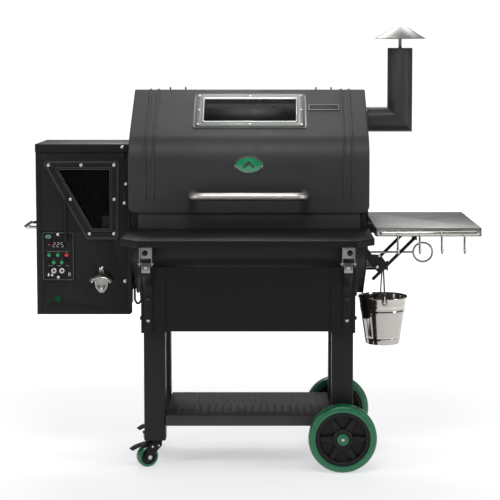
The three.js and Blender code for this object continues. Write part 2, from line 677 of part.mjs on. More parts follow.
// Fixed arm: a plate that carries the hinge pin, then a bar that curves back to the sleeve.
function shelfArm(x) {
  const { armFront, armFoot } = shelfHinge;
  const half = shelfHinge.armWidth / 2;
  const back = -cart.sleeveY - gap - 4;
  const run = [[armFront, 636, 0], [armFront, 596, 40], [back, 548, 40], [back, armFoot, 0]];
  const strap = extrude(bentSheet(run, 4), [x - half, x + half], 'x');
  const knuckle = rod(6, [x - half, x + half], 'x', [shelfHinge.y, shelfHinge.z], 16);
  const pin = rod(shelfHinge.pinR, [x - 22, x + 22], 'x', [shelfHinge.y, shelfHinge.z]);
  return join(strap, knuckle, pin);
}
['left', 'right'].forEach((side, i) => {
  place(`shelf_channel_${side}`, shelfChannel(shelfHinge.channels[i]), stainless);
  place(`shelf_arm_${side}`, shelfArm(shelfHinge.channels[i]), blackCoat);
});

// ---------------------------------------------------------------- side shelf
function sideShelfTray() {
  const { left, right, halfDepth, top, lip, pivotX, pivotZ } = sideShelf;
  const plate = tray([left, right], [-halfDepth, halfDepth], top, lip, 2);
  const lugs = sideShelf.lugY.map((y) => cut(
    join(
      slab([pivotX, left + 1], [y - 9, y + 9], [pivotZ - 5, pivotZ + 5]),
      rod(5, [y - 9, y + 9], 'y', [pivotX, pivotZ]),
    ),
    rod(3.6, [y - 20, y + 20], 'y', [pivotX, pivotZ]),
  ));
  const strutLugs = strut.ys.map((y) => cut(
    slab([strut.top[0] - 8, strut.top[0] + 8], [y + 8, y + 11], [strut.top[1] - 8, top - 1]),
    rod(3.4, [y - 20, y + 20], 'y', strut.top, 12),
  ));
  return join(plate, ...lugs, ...strutLugs);
}
place('side_shelf', sideShelfTray(), stainless);

function sideRail() {
  const { left, right, z, offset, wireR, hookX, hookR } = rail;
  const y = -sideShelf.halfDepth - offset;
  const weld = y + offset - 0.5;
  const wire = bar([[left, weld, z], [left, y, z], [right, y, z], [right, weld, z]], wireR);
  const hooks = hookX.map((x) => bar([
    [x, y, z], [x, y, 670], [x, y - 4, 661], [x, y - 12, 658], [x, y - 19, 662], [x, y - 21, 671],
  ], hookR, 6));
  return join(wire, ...hooks);
}
place('side_rail', sideRail(), stainless);

// Two stays joined by a cross bar under the shelf, where they pivot.
function sideStrut() {
  const [tx, tz] = strut.top;
  const [fx, fz] = strut.foot;
  const stays = strut.ys.map((y) => bar([[tx, y, tz], [fx, y, fz]], strut.radius));
  const cross = rod(3, [strut.ys[0], strut.ys[1] + 16], 'y', [tx, tz], 10);
  return join(...stays, cross);
}
place('side_strut', sideStrut(), blackCoat);

// Catch plate on the right panel that the front stay rests in.
function strutBracket() {
  const y = strut.ys[0] - strut.radius - 2;
  const outline = [[349.5, 668], [362, 650], [388, 648], [408, 621], [386, 592], [361, 616], [349.5, 630]];
  return extrude(outline, [y - 3, y], 'y');
}
place('strut_bracket', strutBracket(), blackCoat);

// ---------------------------------------------------------------- grease spout and bucket
place('drain_spout', cut(
  join(
    rod(spout.radius, [spout.left, spout.right], 'x', [0, spout.z], 20),
    rod(spout.radius + 4, [spout.right - 2, spout.right], 'x', [0, spout.z], 20),
  ),
  rod(spout.radius - spout.wall, [spout.left + 3, spout.right + 5], 'x', [0, spout.z], 20),
  slab([spout.left - 5, spout.left + 9], [-5, 5], [spout.z, spout.z + 30]),
), stainless);

function bucketShell() {
  const { rimR, baseR, rimZ, baseZ, wall, x, earZ } = bucket;
  const profile = [
    [0, baseZ], [baseR, baseZ], [rimR - 2, rimZ - 5], [rimR, rimZ - 4], [rimR, rimZ], [rimR - 2 - wall, rimZ],
    [baseR - wall, baseZ + wall], [0, baseZ + wall],
  ];
  const pins = [-1, 1].map((side) => (
    rod(2.5, between(side * (rimR - 4.4), side * (rimR + 8)), 'y', [x, earZ], 10)
  ));
  return join(turned(profile, 'z', [x, 0, 0], 28), ...pins);
}
place('bucket', bucketShell(), polished);

// Wire bail: up past the rim, then in to a hook that hangs over the spout.
function bucketBail() {
  const { x, rimR, rimZ, earZ } = bucket;
  const wireR = 2.5;
  const half = rimR + 4;
  const kneeZ = rimZ + 8;
  const hook = spout.radius + 0.6 + wireR;
  const rise = spout.z - kneeZ;
  const start = Math.acos(hook / Math.hypot(half, rise)) - Math.atan2(rise, half);
  const steps = 8;
  const arc = [];
  for (let i = 0; i <= steps; i += 1) {
    const angle = start + ((Math.PI - 2 * start) * i) / steps;
    arc.push([x, -hook * Math.cos(angle), spout.z + hook * Math.sin(angle)]);
  }
  const near = [[x, -half, earZ + 4], [x, -half, kneeZ]];
  const far = [[x, half, kneeZ], [x, half, earZ + 4]];
  const eyes = [-1, 1].map((side) => (
    ring(3.1, 6, [side * half - 1.5, side * half + 1.5], 'y', [x, earZ], 14)
  ));
  return join(bar([...near, ...arc, ...far], wireR, 6), ...eyes);
}
place('bucket_bail', bucketBail(), stainless);

// ---------------------------------------------------------------- pellet hopper
const frontWall = -hopper.halfDepth;

function hopperBody() {
  const { left, right, halfDepth, bottom, top, wall, panel, power, stepX, stepZ } = hopper;
  const shell = cut(
    slab([left, right], [-halfDepth, halfDepth], [bottom, top]),
    slab([left + wall, right - wall], [-halfDepth + wall, halfDepth - wall], [bottom + wall, top + 5]),
    slab([stepX, right + 5], [-halfDepth + wall, halfDepth + 5], [bottom - 5, stepZ]),
  );
  const riser = slab([stepX - wall, stepX], [-halfDepth + 1, halfDepth], [bottom, stepZ]);
  const tread = slab([stepX - wall, right], [-halfDepth + 1, halfDepth], [stepZ - wall, stepZ + 0.5]);
  const depth = [-halfDepth + 1, halfDepth - 1];
  const floorZ = auger.z + auger.tubeR + 1;
  const chute = [[left + 1, 905, 0], [-470, floorZ + 45, 0], [-470, floorZ, 0], [right - 1, floorZ, 0]];
  const bin = cut(
    extrude(bentSheet(chute, wall), depth, 'y'),
    slab([right - 114, right - 14], [-20, 20], [floorZ - 5, floorZ + 8]),
  );
  const fanPin = rod(3, [left + 1, left + 36], 'x', hopper.fan, 12);
  const { hingeY } = hopper;
  const lug = [
    [halfDepth - 1, top - 20], [hingeY + 4, top - 6], [hingeY + 4, top + 4], [hingeY - 4, top + 4],
    [hingeY - 4, top - 2], [halfDepth - 1, top - 2],
  ];
  const hingeLugs = hopper.hingeX.flatMap((x) => [
    extrude(lug, [x - 20, x - 16], 'x'),
    extrude(lug, [x + 16, x + 20], 'x'),
    rod(2.5, [x - 18, x + 18], 'x', [hingeY, top], 10),
  ]);
  const inlet = cut(
    slab([-470, -422], [halfDepth - 1, halfDepth + 5], [490, 522]),
    slab([-466, -426], [halfDepth, halfDepth + 9], [494, 518]),
  );
  const front = [-halfDepth - 5, -halfDepth + wall + 3];
  return cut(
    join(shell, riser, tread, bin, fanPin, ...hingeLugs, inlet),
    rod(auger.tubeR + gap, [right - 5, right + 5], 'x', [0, auger.z], 24),
    slab([panel.left + 8, panel.right - 8], front, [panel.bottom + 8, panel.top - 8]),
    rod(10.5, front, 'y', power, 20),
    extrude(hopper.opening, front, 'y'),
    slab([-605, -505], [halfDepth - 5, halfDepth + 5], [570, 675]),
  );
}
place('hopper_body', hopperBody(), blackCoat);

function hopperLid() {
  const { left, right, halfDepth, top, lidTop } = hopper;
  const skin = cut(
    slab([left - 1.5, right], [-halfDepth - 3, halfDepth + 1], [top + gap, lidTop]),
    slab([left + 0.5, right - 2], [-halfDepth - 1, halfDepth - 1], [top - 5, lidTop - 2]),
  );
  const { hingeX, hingeY } = hopper;
  const knuckles = hingeX.flatMap((x) => [
    rod(5, [x - 14, x + 14], 'x', [hingeY, top], 14),
    slab([x - 14, x + 14], [halfDepth - 0.5, hingeY + 2], [top + 2, top + 12]),
  ]);
  const bores = hingeX.map((x) => rod(3.1, [x - 30, x + 30], 'x', [hingeY, top], 14));
  return cut(join(skin, ...knuckles), ...bores);
}
place('hopper_lid', hopperLid(), blackCoat);

place('hopper_window_frame', extrude(
  hopper.window,
  [frontWall - 5, frontWall - gap],
  'y',
  [[...hopper.opening].reverse()],
), blackCoat);
place('hopper_glass', extrude(
  [[-571, 896], [-408, 896], [-408, 711], [-468, 711]],
  [frontWall + hopper.wall + gap, frontWall + hopper.wall + 3],
  'y',
), darkGlass);

function controlPanel() {
  const { left, right, bottom, top } = hopper.panel;
  const plate = slab([left, right], [frontWall - 2.4, frontWall - gap], [bottom, top]);
  const depth = [frontWall - 5, frontWall + 1];
  const holes = Object.values(panelButtons).map((at) => rod(6.2, depth, 'y', at, 10));
  return cut(plate, ...holes);
}
place('control_panel', controlPanel(), blackPlastic);

// Button with a retaining flange behind its hole.
const button = (at, radius, front, flangeFrom) => join(
  rod(radius, [front, flangeFrom + 1], 'y', at, 10),
  rod(radius + 1.8, [flangeFrom, flangeFrom + 1.6], 'y', at, 10),
);
Object.entries(panelButtons).forEach(([name, at]) => {
  const material = name === 'button_stop' ? redPlastic : greenPlastic;
  place(name, button(at, 5.7, frontWall - 5.4, frontWall + 0.4), material);
});
place('power_button', button(hopper.power, 9.9, frontWall - 4, frontWall + hopper.wall + gap), greenPlastic);

// Wall-mounted opener: an arched head with a hook under it, and a tongue for its lower screw.
function bottleOpener() {
  const head = [
    [-474, 551], [-474, 572], [-466, 582], [-450, 586], [-447, 601],
    [-431, 601], [-428, 586], [-412, 582], [-404, 572], [-404, 551],
  ];
  const tongue = [[-458.5, 527], [-453, 522], [-425, 522], [-419.5, 527], [-419.5, 552], [-458.5, 552]];
  const depth = [frontWall - 6, frontWall - gap];
  const hook = slab([-470, -408], [frontWall - 24, frontWall - 4], [570, 576]);
  return join(extrude(head, depth, 'y'), extrude(tongue, depth, 'y'), hook);
}
place('bottle_opener', bottleOpener(), stainless);

place('hopper_handle', bar([
  [hopper.left - gap, -70, 715], [hopper.left - 30, -70, 715], [hopper.left - 42, -58, 715],
  [hopper.left - 42, 58, 715], [hopper.left - 30, 70, 715], [hopper.left - gap, 70, 715],
], 5.5, 10), polished);

place('antenna', join(
  bar([[-543.5, frontWall - 10, 677], [-543.5, frontWall - 10, 804]], 4, 10),
  slab([-547.5, -539.5], [frontWall - 12, frontWall - 2.8], [675, 687]),
), blackPlastic);

// Lead between the hopper and the cradle, hanging in a short loop.
place('sensor_lead', bar([
  [hopper.right + gap, -100, 545], [-343.5, -100, 545], [-341.5, -100, 539], [-341.5, -100, 500],
  [-339, -100, 492], [-332, -100, 487], [-325, -100, 492], [-322.5, -100, 500], [-322.5, -100, 538],
  [-320, -100, 545], [-cart.legX - cart.sleeveHalfWidth - gap, -100, 545],
], 2, 8), blackPlastic);

// Combustion fan on its pin inside the hopper's lower compartment.
function fan() {
  const x = hopper.left + 22;
  const [y, z] = hopper.fan;
  const blades = [0, 1, 2, 3, 4, 5].map((i) => {
    const blade = slab([-8, 8], [-1, 1], [8, 34]);
    blade.rotateZ(0.5).rotateX((Math.PI * i) / 3).translate(x, y, z);
    return blade;
  });
  return join(ring(3.5, 11, [x - 9, x + 9], 'x', [y, z], 16), ...blades);
}
place('combustion_fan', fan(), blackPlastic);

export default grill;
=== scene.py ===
import math

import bmesh
import bpy
from mathutils import Matrix, Vector
from mathutils.geometry import tessellate_polygon


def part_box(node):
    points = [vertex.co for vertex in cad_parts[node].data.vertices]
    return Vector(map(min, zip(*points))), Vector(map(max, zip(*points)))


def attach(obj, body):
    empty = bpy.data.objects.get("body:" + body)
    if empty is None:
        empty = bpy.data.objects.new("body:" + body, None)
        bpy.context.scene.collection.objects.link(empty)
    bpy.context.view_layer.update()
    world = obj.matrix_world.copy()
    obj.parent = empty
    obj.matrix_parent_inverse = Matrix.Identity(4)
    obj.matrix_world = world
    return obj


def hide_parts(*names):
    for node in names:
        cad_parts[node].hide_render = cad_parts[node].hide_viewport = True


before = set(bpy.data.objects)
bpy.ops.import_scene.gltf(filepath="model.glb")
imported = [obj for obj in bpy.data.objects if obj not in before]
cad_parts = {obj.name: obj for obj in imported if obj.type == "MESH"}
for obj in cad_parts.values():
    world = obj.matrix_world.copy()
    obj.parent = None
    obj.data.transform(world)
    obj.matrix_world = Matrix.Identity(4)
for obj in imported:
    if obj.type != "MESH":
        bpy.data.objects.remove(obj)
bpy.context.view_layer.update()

# Lengths below are millimetres in the barrel's frame: x to the user's right, y = 0 on the barrel's
# centre plane with -y towards the user, and z up from the floor.
MM = 0.001
CRADLE_LOW, CRADLE_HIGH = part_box("cradle")
BARREL_Y = (CRADLE_LOW.y + CRADLE_HIGH.y) / 2


def box(node):
    """Lowest and highest corner of a CAD node, in millimetres in the barrel's frame."""
    shift = Vector((0, BARREL_Y, 0))
    return [(corner - shift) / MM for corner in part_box(node)]


def to_frame(point):
    """Millimetres in the barrel's frame to metres in the part's frame."""
    return Vector((point[0] * MM, point[1] * MM + BARREL_Y, point[2] * MM))


# ---------------------------------------------------------------- materials
class Tree:
    """A new material: constants go on the shader's own sockets, and textures are linked to them."""

    def __init__(self, name, colour, roughness, metallic=0.0, **sockets):
        self.material = bpy.data.materials.new(name)
        self.material.use_nodes = True
        self.nodes = self.material.node_tree.nodes
        self.links = self.material.node_tree.links
        self.shader = self.nodes["Principled BSDF"]
        self.shader.inputs["Base Color"].default_value = (*colour, 1)
        self.shader.inputs["Roughness"].default_value = roughness
        self.shader.inputs["Metallic"].default_value = metallic
        for socket, value in sockets.items():
            self.shader.inputs[socket.replace("_", " ")].default_value = value
        self.place = self.nodes.new("ShaderNodeTexCoord").outputs["Object"]

    def stretched(self, scale):
        mapping = self.nodes.new("ShaderNodeMapping")
        mapping.inputs["Scale"].default_value = scale
        self.links.new(self.place, mapping.inputs["Vector"])
        return mapping.outputs["Vector"]

    def noise(self, per_metre, detail=2.0, vector=None, roughness=0.5):
        node = self.nodes.new("ShaderNodeTexNoise")
        node.inputs["Scale"].default_value = per_metre
        node.inputs["Detail"].default_value = detail
        node.inputs["Roughness"].default_value = roughness
        self.links.new(vector or self.place, node.inputs["Vector"])
        return node.outputs["Fac"]

    def cells(self, per_metre):
        node = self.nodes.new("ShaderNodeTexVoronoi")
        node.inputs["Scale"].default_value = per_metre
        self.links.new(self.place, node.inputs["Vector"])
        return node.outputs["Color"]

    def spread(self, value, low, high, start=0.3, end=0.7):
        """A 0 to 1 texture mapped to low to high."""
        node = self.nodes.new("ShaderNodeMapRange")
        node.inputs["From Min"].default_value = start
        node.inputs["From Max"].default_value = end
        node.inputs["To Min"].default_value = low
        node.inputs["To Max"].default_value = high
        self.links.new(value, node.inputs["Value"])
        return node.outputs["Result"]

    def colours(self, value, *stops):
        node = self.nodes.new("ShaderNodeValToRGB")
        ramp = node.color_ramp
        while len(ramp.elements) < len(stops):
            ramp.elements.new(0.5)
        for element, (position, colour) in zip(ramp.elements, stops):
            element.position = position
            element.color = (*colour, 1)
        self.links.new(value, node.inputs["Fac"])
        return node.outputs["Color"]

    def feed(self, socket, output):
        self.links.new(output, self.shader.inputs[socket])
        return self

    def bump(self, *layers):
        """Layers are (height texture, depth in mm, strength), coarse first."""
        normal = None
        for height, depth, strength in layers:
            node = self.nodes.new("ShaderNodeBump")
            node.inputs["Distance"].default_value = depth * MM
            node.inputs["Strength"].default_value = strength
            self.links.new(height, node.inputs["Height"])
            if normal:
                self.links.new(normal, node.inputs["Normal"])
            normal = node.outputs["Normal"]
        return self.feed("Normal", normal)


def shade(colour, factor):
    return tuple(min(1.0, channel * factor) for channel in colour)


def powder_coat(name, colour, roughness, grain=1.0):
    """Baked powder paint: a fine orange peel over slightly uneven colour and gloss."""
    tree = Tree(name, colour, roughness, Specular_IOR_Level=0.17)
    patches = tree.noise(5, 3)
    tree.feed("Base Color", tree.colours(patches, (0.3, shade(colour, 0.88)), (0.7, shade(colour, 1.14))))
    smears = tree.noise(26, 4, roughness=0.6)
    tree.feed("Roughness", tree.spread(smears, roughness - 0.05, roughness + 0.06))
    return tree.bump((tree.noise(14, 1), 0.5, 0.1), (tree.noise(750, 2), 0.12 * grain, 0.35)).material


def brushed(name, colour, roughness, grain):
    """Sheet metal with fine parallel scratches: grain is the stretch of the noise along x, y and z."""
    tree = Tree(name, colour, roughness, 1.0)
    lines = tree.noise(55, 4, tree.stretched(grain), 0.7)
    haze = tree.noise(9, 3)
    tree.feed("Base Color", tree.colours(lines, (0.3, shade(colour, 0.86)), (0.72, shade(colour, 1.08))))
    tree.feed("Roughness", tree.spread(haze, roughness - 0.05, roughness + 0.08))
    return tree.bump((haze, 0.4, 0.08), (lines, 0.06, 0.25)).material


def polished(name, colour, roughness):
    """Bright rolled or plated metal: faint waves, finger smears and hairline scratches."""
    tree = Tree(name, colour, roughness, 1.0)
    waves = tree.noise(20, 1)
    smears = tree.noise(34, 5, roughness=0.65)
    hairs = tree.noise(30, 5, tree.stretched((1, 1, 14)), 0.75)
    tree.feed("Roughness", tree.spread(smears, roughness, roughness + 0.08))
    tree.feed("Base Color", tree.colours(hairs, (0.25, shade(colour, 0.9)), (0.6, colour)))
    return tree.bump((waves, 0.8, 0.12), (hairs, 0.03, 0.12)).material


def moulded(name, colour, roughness, grain=0.05, **sockets):
    """Moulded plastic or rubber: a fine texture with paler rubbed patches."""
    tree = Tree(name, colour, roughness, **sockets)
    rubbed = tree.noise(38, 4, roughness=0.6)
    tree.feed("Base Color", tree.colours(rubbed, (0.35, shade(colour, 0.86)), (0.75, shade(colour, 1.2))))
    tree.feed("Roughness", tree.spread(rubbed, roughness - 0.05, roughness + 0.1))
    return tree.bump((tree.noise(900, 2), grain, 0.3)).material


def cast(name, colour, roughness):
    """Cast or seasoned iron: pitted, with soot patches."""
    tree = Tree(name, colour, roughness, 0.5)
    soot = tree.noise(22, 5, roughness=0.65)
    tree.feed("Base Color", tree.colours(soot, (0.3, shade(colour, 0.6)), (0.7, shade(colour, 1.5))))
    tree.feed("Roughness", tree.spread(soot, roughness - 0.12, roughness + 0.1))
    return tree.bump((tree.noise(120, 3), 0.5, 0.25), (tree.noise(600, 3), 0.25, 0.4)).material


def spangled(name, colour, roughness):
    """Galvanised sheet: crystal patches of slightly different grey."""
    tree = Tree(name, colour, roughness, 0.9)
    crystals = tree.cells(110)
    tree.feed("Base Color", tree.colours(crystals, (0.1, shade(colour, 0.8)), (0.9, shade(colour, 1.15))))
    tree.feed("Roughness", tree.spread(crystals, roughness - 0.1, roughness + 0.1, 0, 1))
    return tree.bump((tree.noise(60, 3), 0.2, 0.2)).material


def smoked_glass(name, colour, alpha):
    """Dark glass with a light film of smoke on it."""
    tree = Tree(name, colour, 0.3, Alpha=alpha, Specular_IOR_Level=0.06)
    film = tree.noise(16, 5, roughness=0.6)
    tree.feed("Roughness", tree.spread(film, 0.24, 0.38))
    tree.feed("Base Color", tree.colours(film, (0.3, shade(colour, 0.7)), (0.8, shade(colour, 1.6))))
    return tree.material


def lit(name, colour, strength):
    tree = Tree(name, shade(colour, 0.5), 0.3, Emission_Strength=strength)
    glow = tree.noise(300, 1)
    tree.feed("Emission Color", tree.colours(glow, (0.3, shade(colour, 0.85)), (0.7, colour)))
    return tree.material


COAT = powder_coat("black_coat", (0.0085, 0.0084, 0.0084), 0.44)
# Paler copy of the black coat: its extra lightness is painted sheen. Used on the lid, the hinge knuckles, the
# handle bases and a band on the barrel's front.
PAINTED_SHEEN_COAT = powder_coat("lid_coat", (0.031, 0.031, 0.0313), 0.46)
SHELF_STEEL = brushed("shelf_steel", (0.15, 0.148, 0.145), 0.42, (0.5, 14, 14))
HANDLE_STEEL = brushed("handle_steel", (0.50, 0.48, 0.45), 0.4, (0.5, 14, 14))
# Pale steel for the window's inner lip and the side shelf's trim; on the lip its paleness beside the darker
# frame steel is painted highlight.
WINDOW_LIP = brushed("window_lip_steel", (0.46, 0.475, 0.455), 0.34, (0.6, 10, 10))
STAINLESS_UP = brushed("stainless_upright", (0.30, 0.29, 0.275), 0.3, (14, 14, 0.6))
CHROME = polished("polished_steel", (0.50, 0.48, 0.45), 0.09)
BOLT_STEEL = polished("bright_bolt", (0.60, 0.575, 0.54), 0.3)
DARK_STEEL = polished("dark_plated_steel", (0.10, 0.098, 0.094), 0.2)
OPENER_STEEL = polished("opener_steel", (0.30, 0.29, 0.275), 0.16)
BLACK_BOLT = moulded("blackened_bolt", (0.012, 0.012, 0.013), 0.34)
IRON = cast("cast_iron", (0.02, 0.019, 0.018), 0.7)
ZINC = spangled("galvanised", (0.42, 0.43, 0.44), 0.42)
GREEN = moulded("green_tyre", (0.004, 0.125, 0.052), 0.34, Coat_Weight=0.25)
PLASTIC = moulded("black_plastic", (0.006, 0.006, 0.0065), 0.42, Specular_IOR_Level=0.25)
PANEL_FACE = moulded("panel_face", (0.0075, 0.008, 0.0095), 0.4, 0.02, Specular_IOR_Level=0.15)
# Pale coat for the thin beads round the hopper window: painted highlight along the surround's folds.
BEAD_HIGHLIGHT_COAT = powder_coat("bead_painted_highlight", (0.075, 0.075, 0.076), 0.34)
# Lighter copy of the black coat for the leg tubes: painted sheen.
LEG_SHEEN_COAT = powder_coat("leg_coat_painted_sheen", (0.0175, 0.0173, 0.0175), 0.44)
# Lighter copy of the black coat for the ribbed bottom shelf: painted sheen.
TRAY_SHEEN_COAT = powder_coat("tray_coat_painted_sheen", (0.05, 0.0492, 0.0485), 0.42)
# Darker copy of the black coat for the front shelf: painted shade.
SHELF_TOP_SHADE_COAT = powder_coat("shelf_top_painted_shade", (0.0055, 0.0053, 0.0051), 0.5)
# Lighter copy of the black coat for the flue pipe and its weld: painted sheen.
FLUE_SHEEN_COAT = powder_coat("flue_coat_painted_sheen", (0.032, 0.032, 0.0322), 0.4)
# Near-black coat for the pellet chute inside the bin: painted shade for the dark inside, over what is
# galvanised steel.
CHUTE_SHADE_COAT = powder_coat("chute_painted_shade", (0.002, 0.002, 0.0021), 0.6, 0.2)
BUTTON_GREEN = moulded("button_green", (0.01, 0.20, 0.055), 0.28, Coat_Weight=0.4)
BUTTON_RED = moulded("button_red", (0.55, 0.012, 0.01), 0.28, Coat_Weight=0.4)
ENAMEL = moulded("emblem_enamel", (0.006, 0.19, 0.085), 0.22, 0.02, Coat_Weight=0.6)
PRINT = moulded("printed_white", (0.62, 0.62, 0.6), 0.5, 0.02)
FAINT_PRINT = moulded("printed_grey", (0.16, 0.16, 0.16), 0.5, 0.02)
LID_GLASS = smoked_glass("lid_glass", (0.004, 0.004, 0.004), 1.0)
BIN_GLASS = smoked_glass("hopper_glass", (0.002, 0.002, 0.0024), 0.6)
DIGITS = lit("display_digits", (0.62, 0.6, 0.58), 0.45)
LED_RED = lit("red_light", (0.6, 0.02, 0.03), 0.8)
POWER_GREEN = moulded("power_green", (0.001, 0.055, 0.015), 0.6, Specular_IOR_Level=0.08)
TAB_GREY = moulded("blue_grey_tab", (0.36, 0.44, 0.52), 0.5)
WINDOW_STEEL = brushed("window_frame_steel", (0.13, 0.136, 0.13), 0.36, (0.6, 10, 10))
CAP_STEEL = brushed("cap_steel", (0.17, 0.167, 0.16), 0.34, (10, 10, 0.6))
STAINLESS_DARK = brushed("stainless_dull", (0.38, 0.37, 0.35), 0.32, (0.5, 14, 14))
VOID_BLACK = moulded("shadowed_slot", (0.002, 0.002, 0.002), 0.6)
DISPLAY = smoked_glass("display_lens", (0.006, 0.006, 0.008), 1.0)


# ---------------------------------------------------------------- outlines
def unit(a, b):
    length = math.dist(a[:2], b[:2])
    return (b[0] - a[0]) / length, (b[1] - a[1]) / length


def rounded(corners, closed=True, step=5.0):
    """Corners (a, b, radius) to points, with each rounded corner as an arc of `step` degrees."""
    points = []
    for i, corner in enumerate(corners):
        radius = corner[2] if len(corner) > 2 else 0
        at_end = not closed and i in (0, len(corners) - 1)
        if at_end or not radius:
            points.append((corner[0], corner[1]))
            continue
        ux, uy = unit(corners[i - 1], corner)
        vx, vy = unit(corner, corners[(i + 1) % len(corners)])
        turn = math.atan2(ux * vy - uy * vx, ux * vx + uy * vy)
        reach = radius * math.tan(abs(turn) / 2)
        side = math.copysign(1, turn)
        cx = corner[0] - ux * reach - uy * side * radius
        cy = corner[1] - uy * reach + ux * side * radius
        start = math.atan2(corner[1] - uy * reach - cy, corner[0] - ux * reach - cx)
        steps = max(2, math.ceil(math.degrees(abs(turn)) / step))
        for s in range(steps + 1):
            angle = start + turn * s / steps
            points.append((cx + radius * math.cos(angle), cy + radius * math.sin(angle)))
    return points


def rectangle(low, high, radius=0.0):
    (a0, b0), (a1, b1) = low, high
    return rounded([(a0, b0, radius), (a1, b0, radius), (a1, b1, radius), (a0, b1, radius)], step=15)


def circle(centre, radius, count=40):
    turns = [2 * math.pi * i / count for i in range(count)]
    return [(centre[0] + radius * math.cos(t), centre[1] + radius * math.sin(t)) for t in turns]


def offset_run(run, distance):
    """An open run of points moved to the left of the direction of travel."""
    moved = []
    for i, point in enumerate(run):
        ax, ay = unit(run[max(i - 1, 0)], run[max(i, 1)])
        bx, by = unit(run[min(i, len(run) - 2)], run[min(i + 1, len(run) - 1)])
        scale = distance / (1 + ax * bx + ay * by)
        moved.append((point[0] - (ay + by) * scale, point[1] + (ax + bx) * scale))
    return moved


def bent_sheet(corners, thickness, step=5.0):
    run = rounded(corners, closed=False, step=step)
    return run + offset_run(run, thickness)[::-1]


# ---------------------------------------------------------------- solids
AXES = {
    "x": Matrix(((0, 0, 1), (1, 0, 0), (0, 1, 0))),  # outline is (y, z)
    "y": Matrix(((1, 0, 0), (0, 0, 1), (0, 1, 0))),  # outline is (x, z)
    "z": Matrix.Identity(3),  # outline is (x, y)
}
SHARP = math.radians(28)


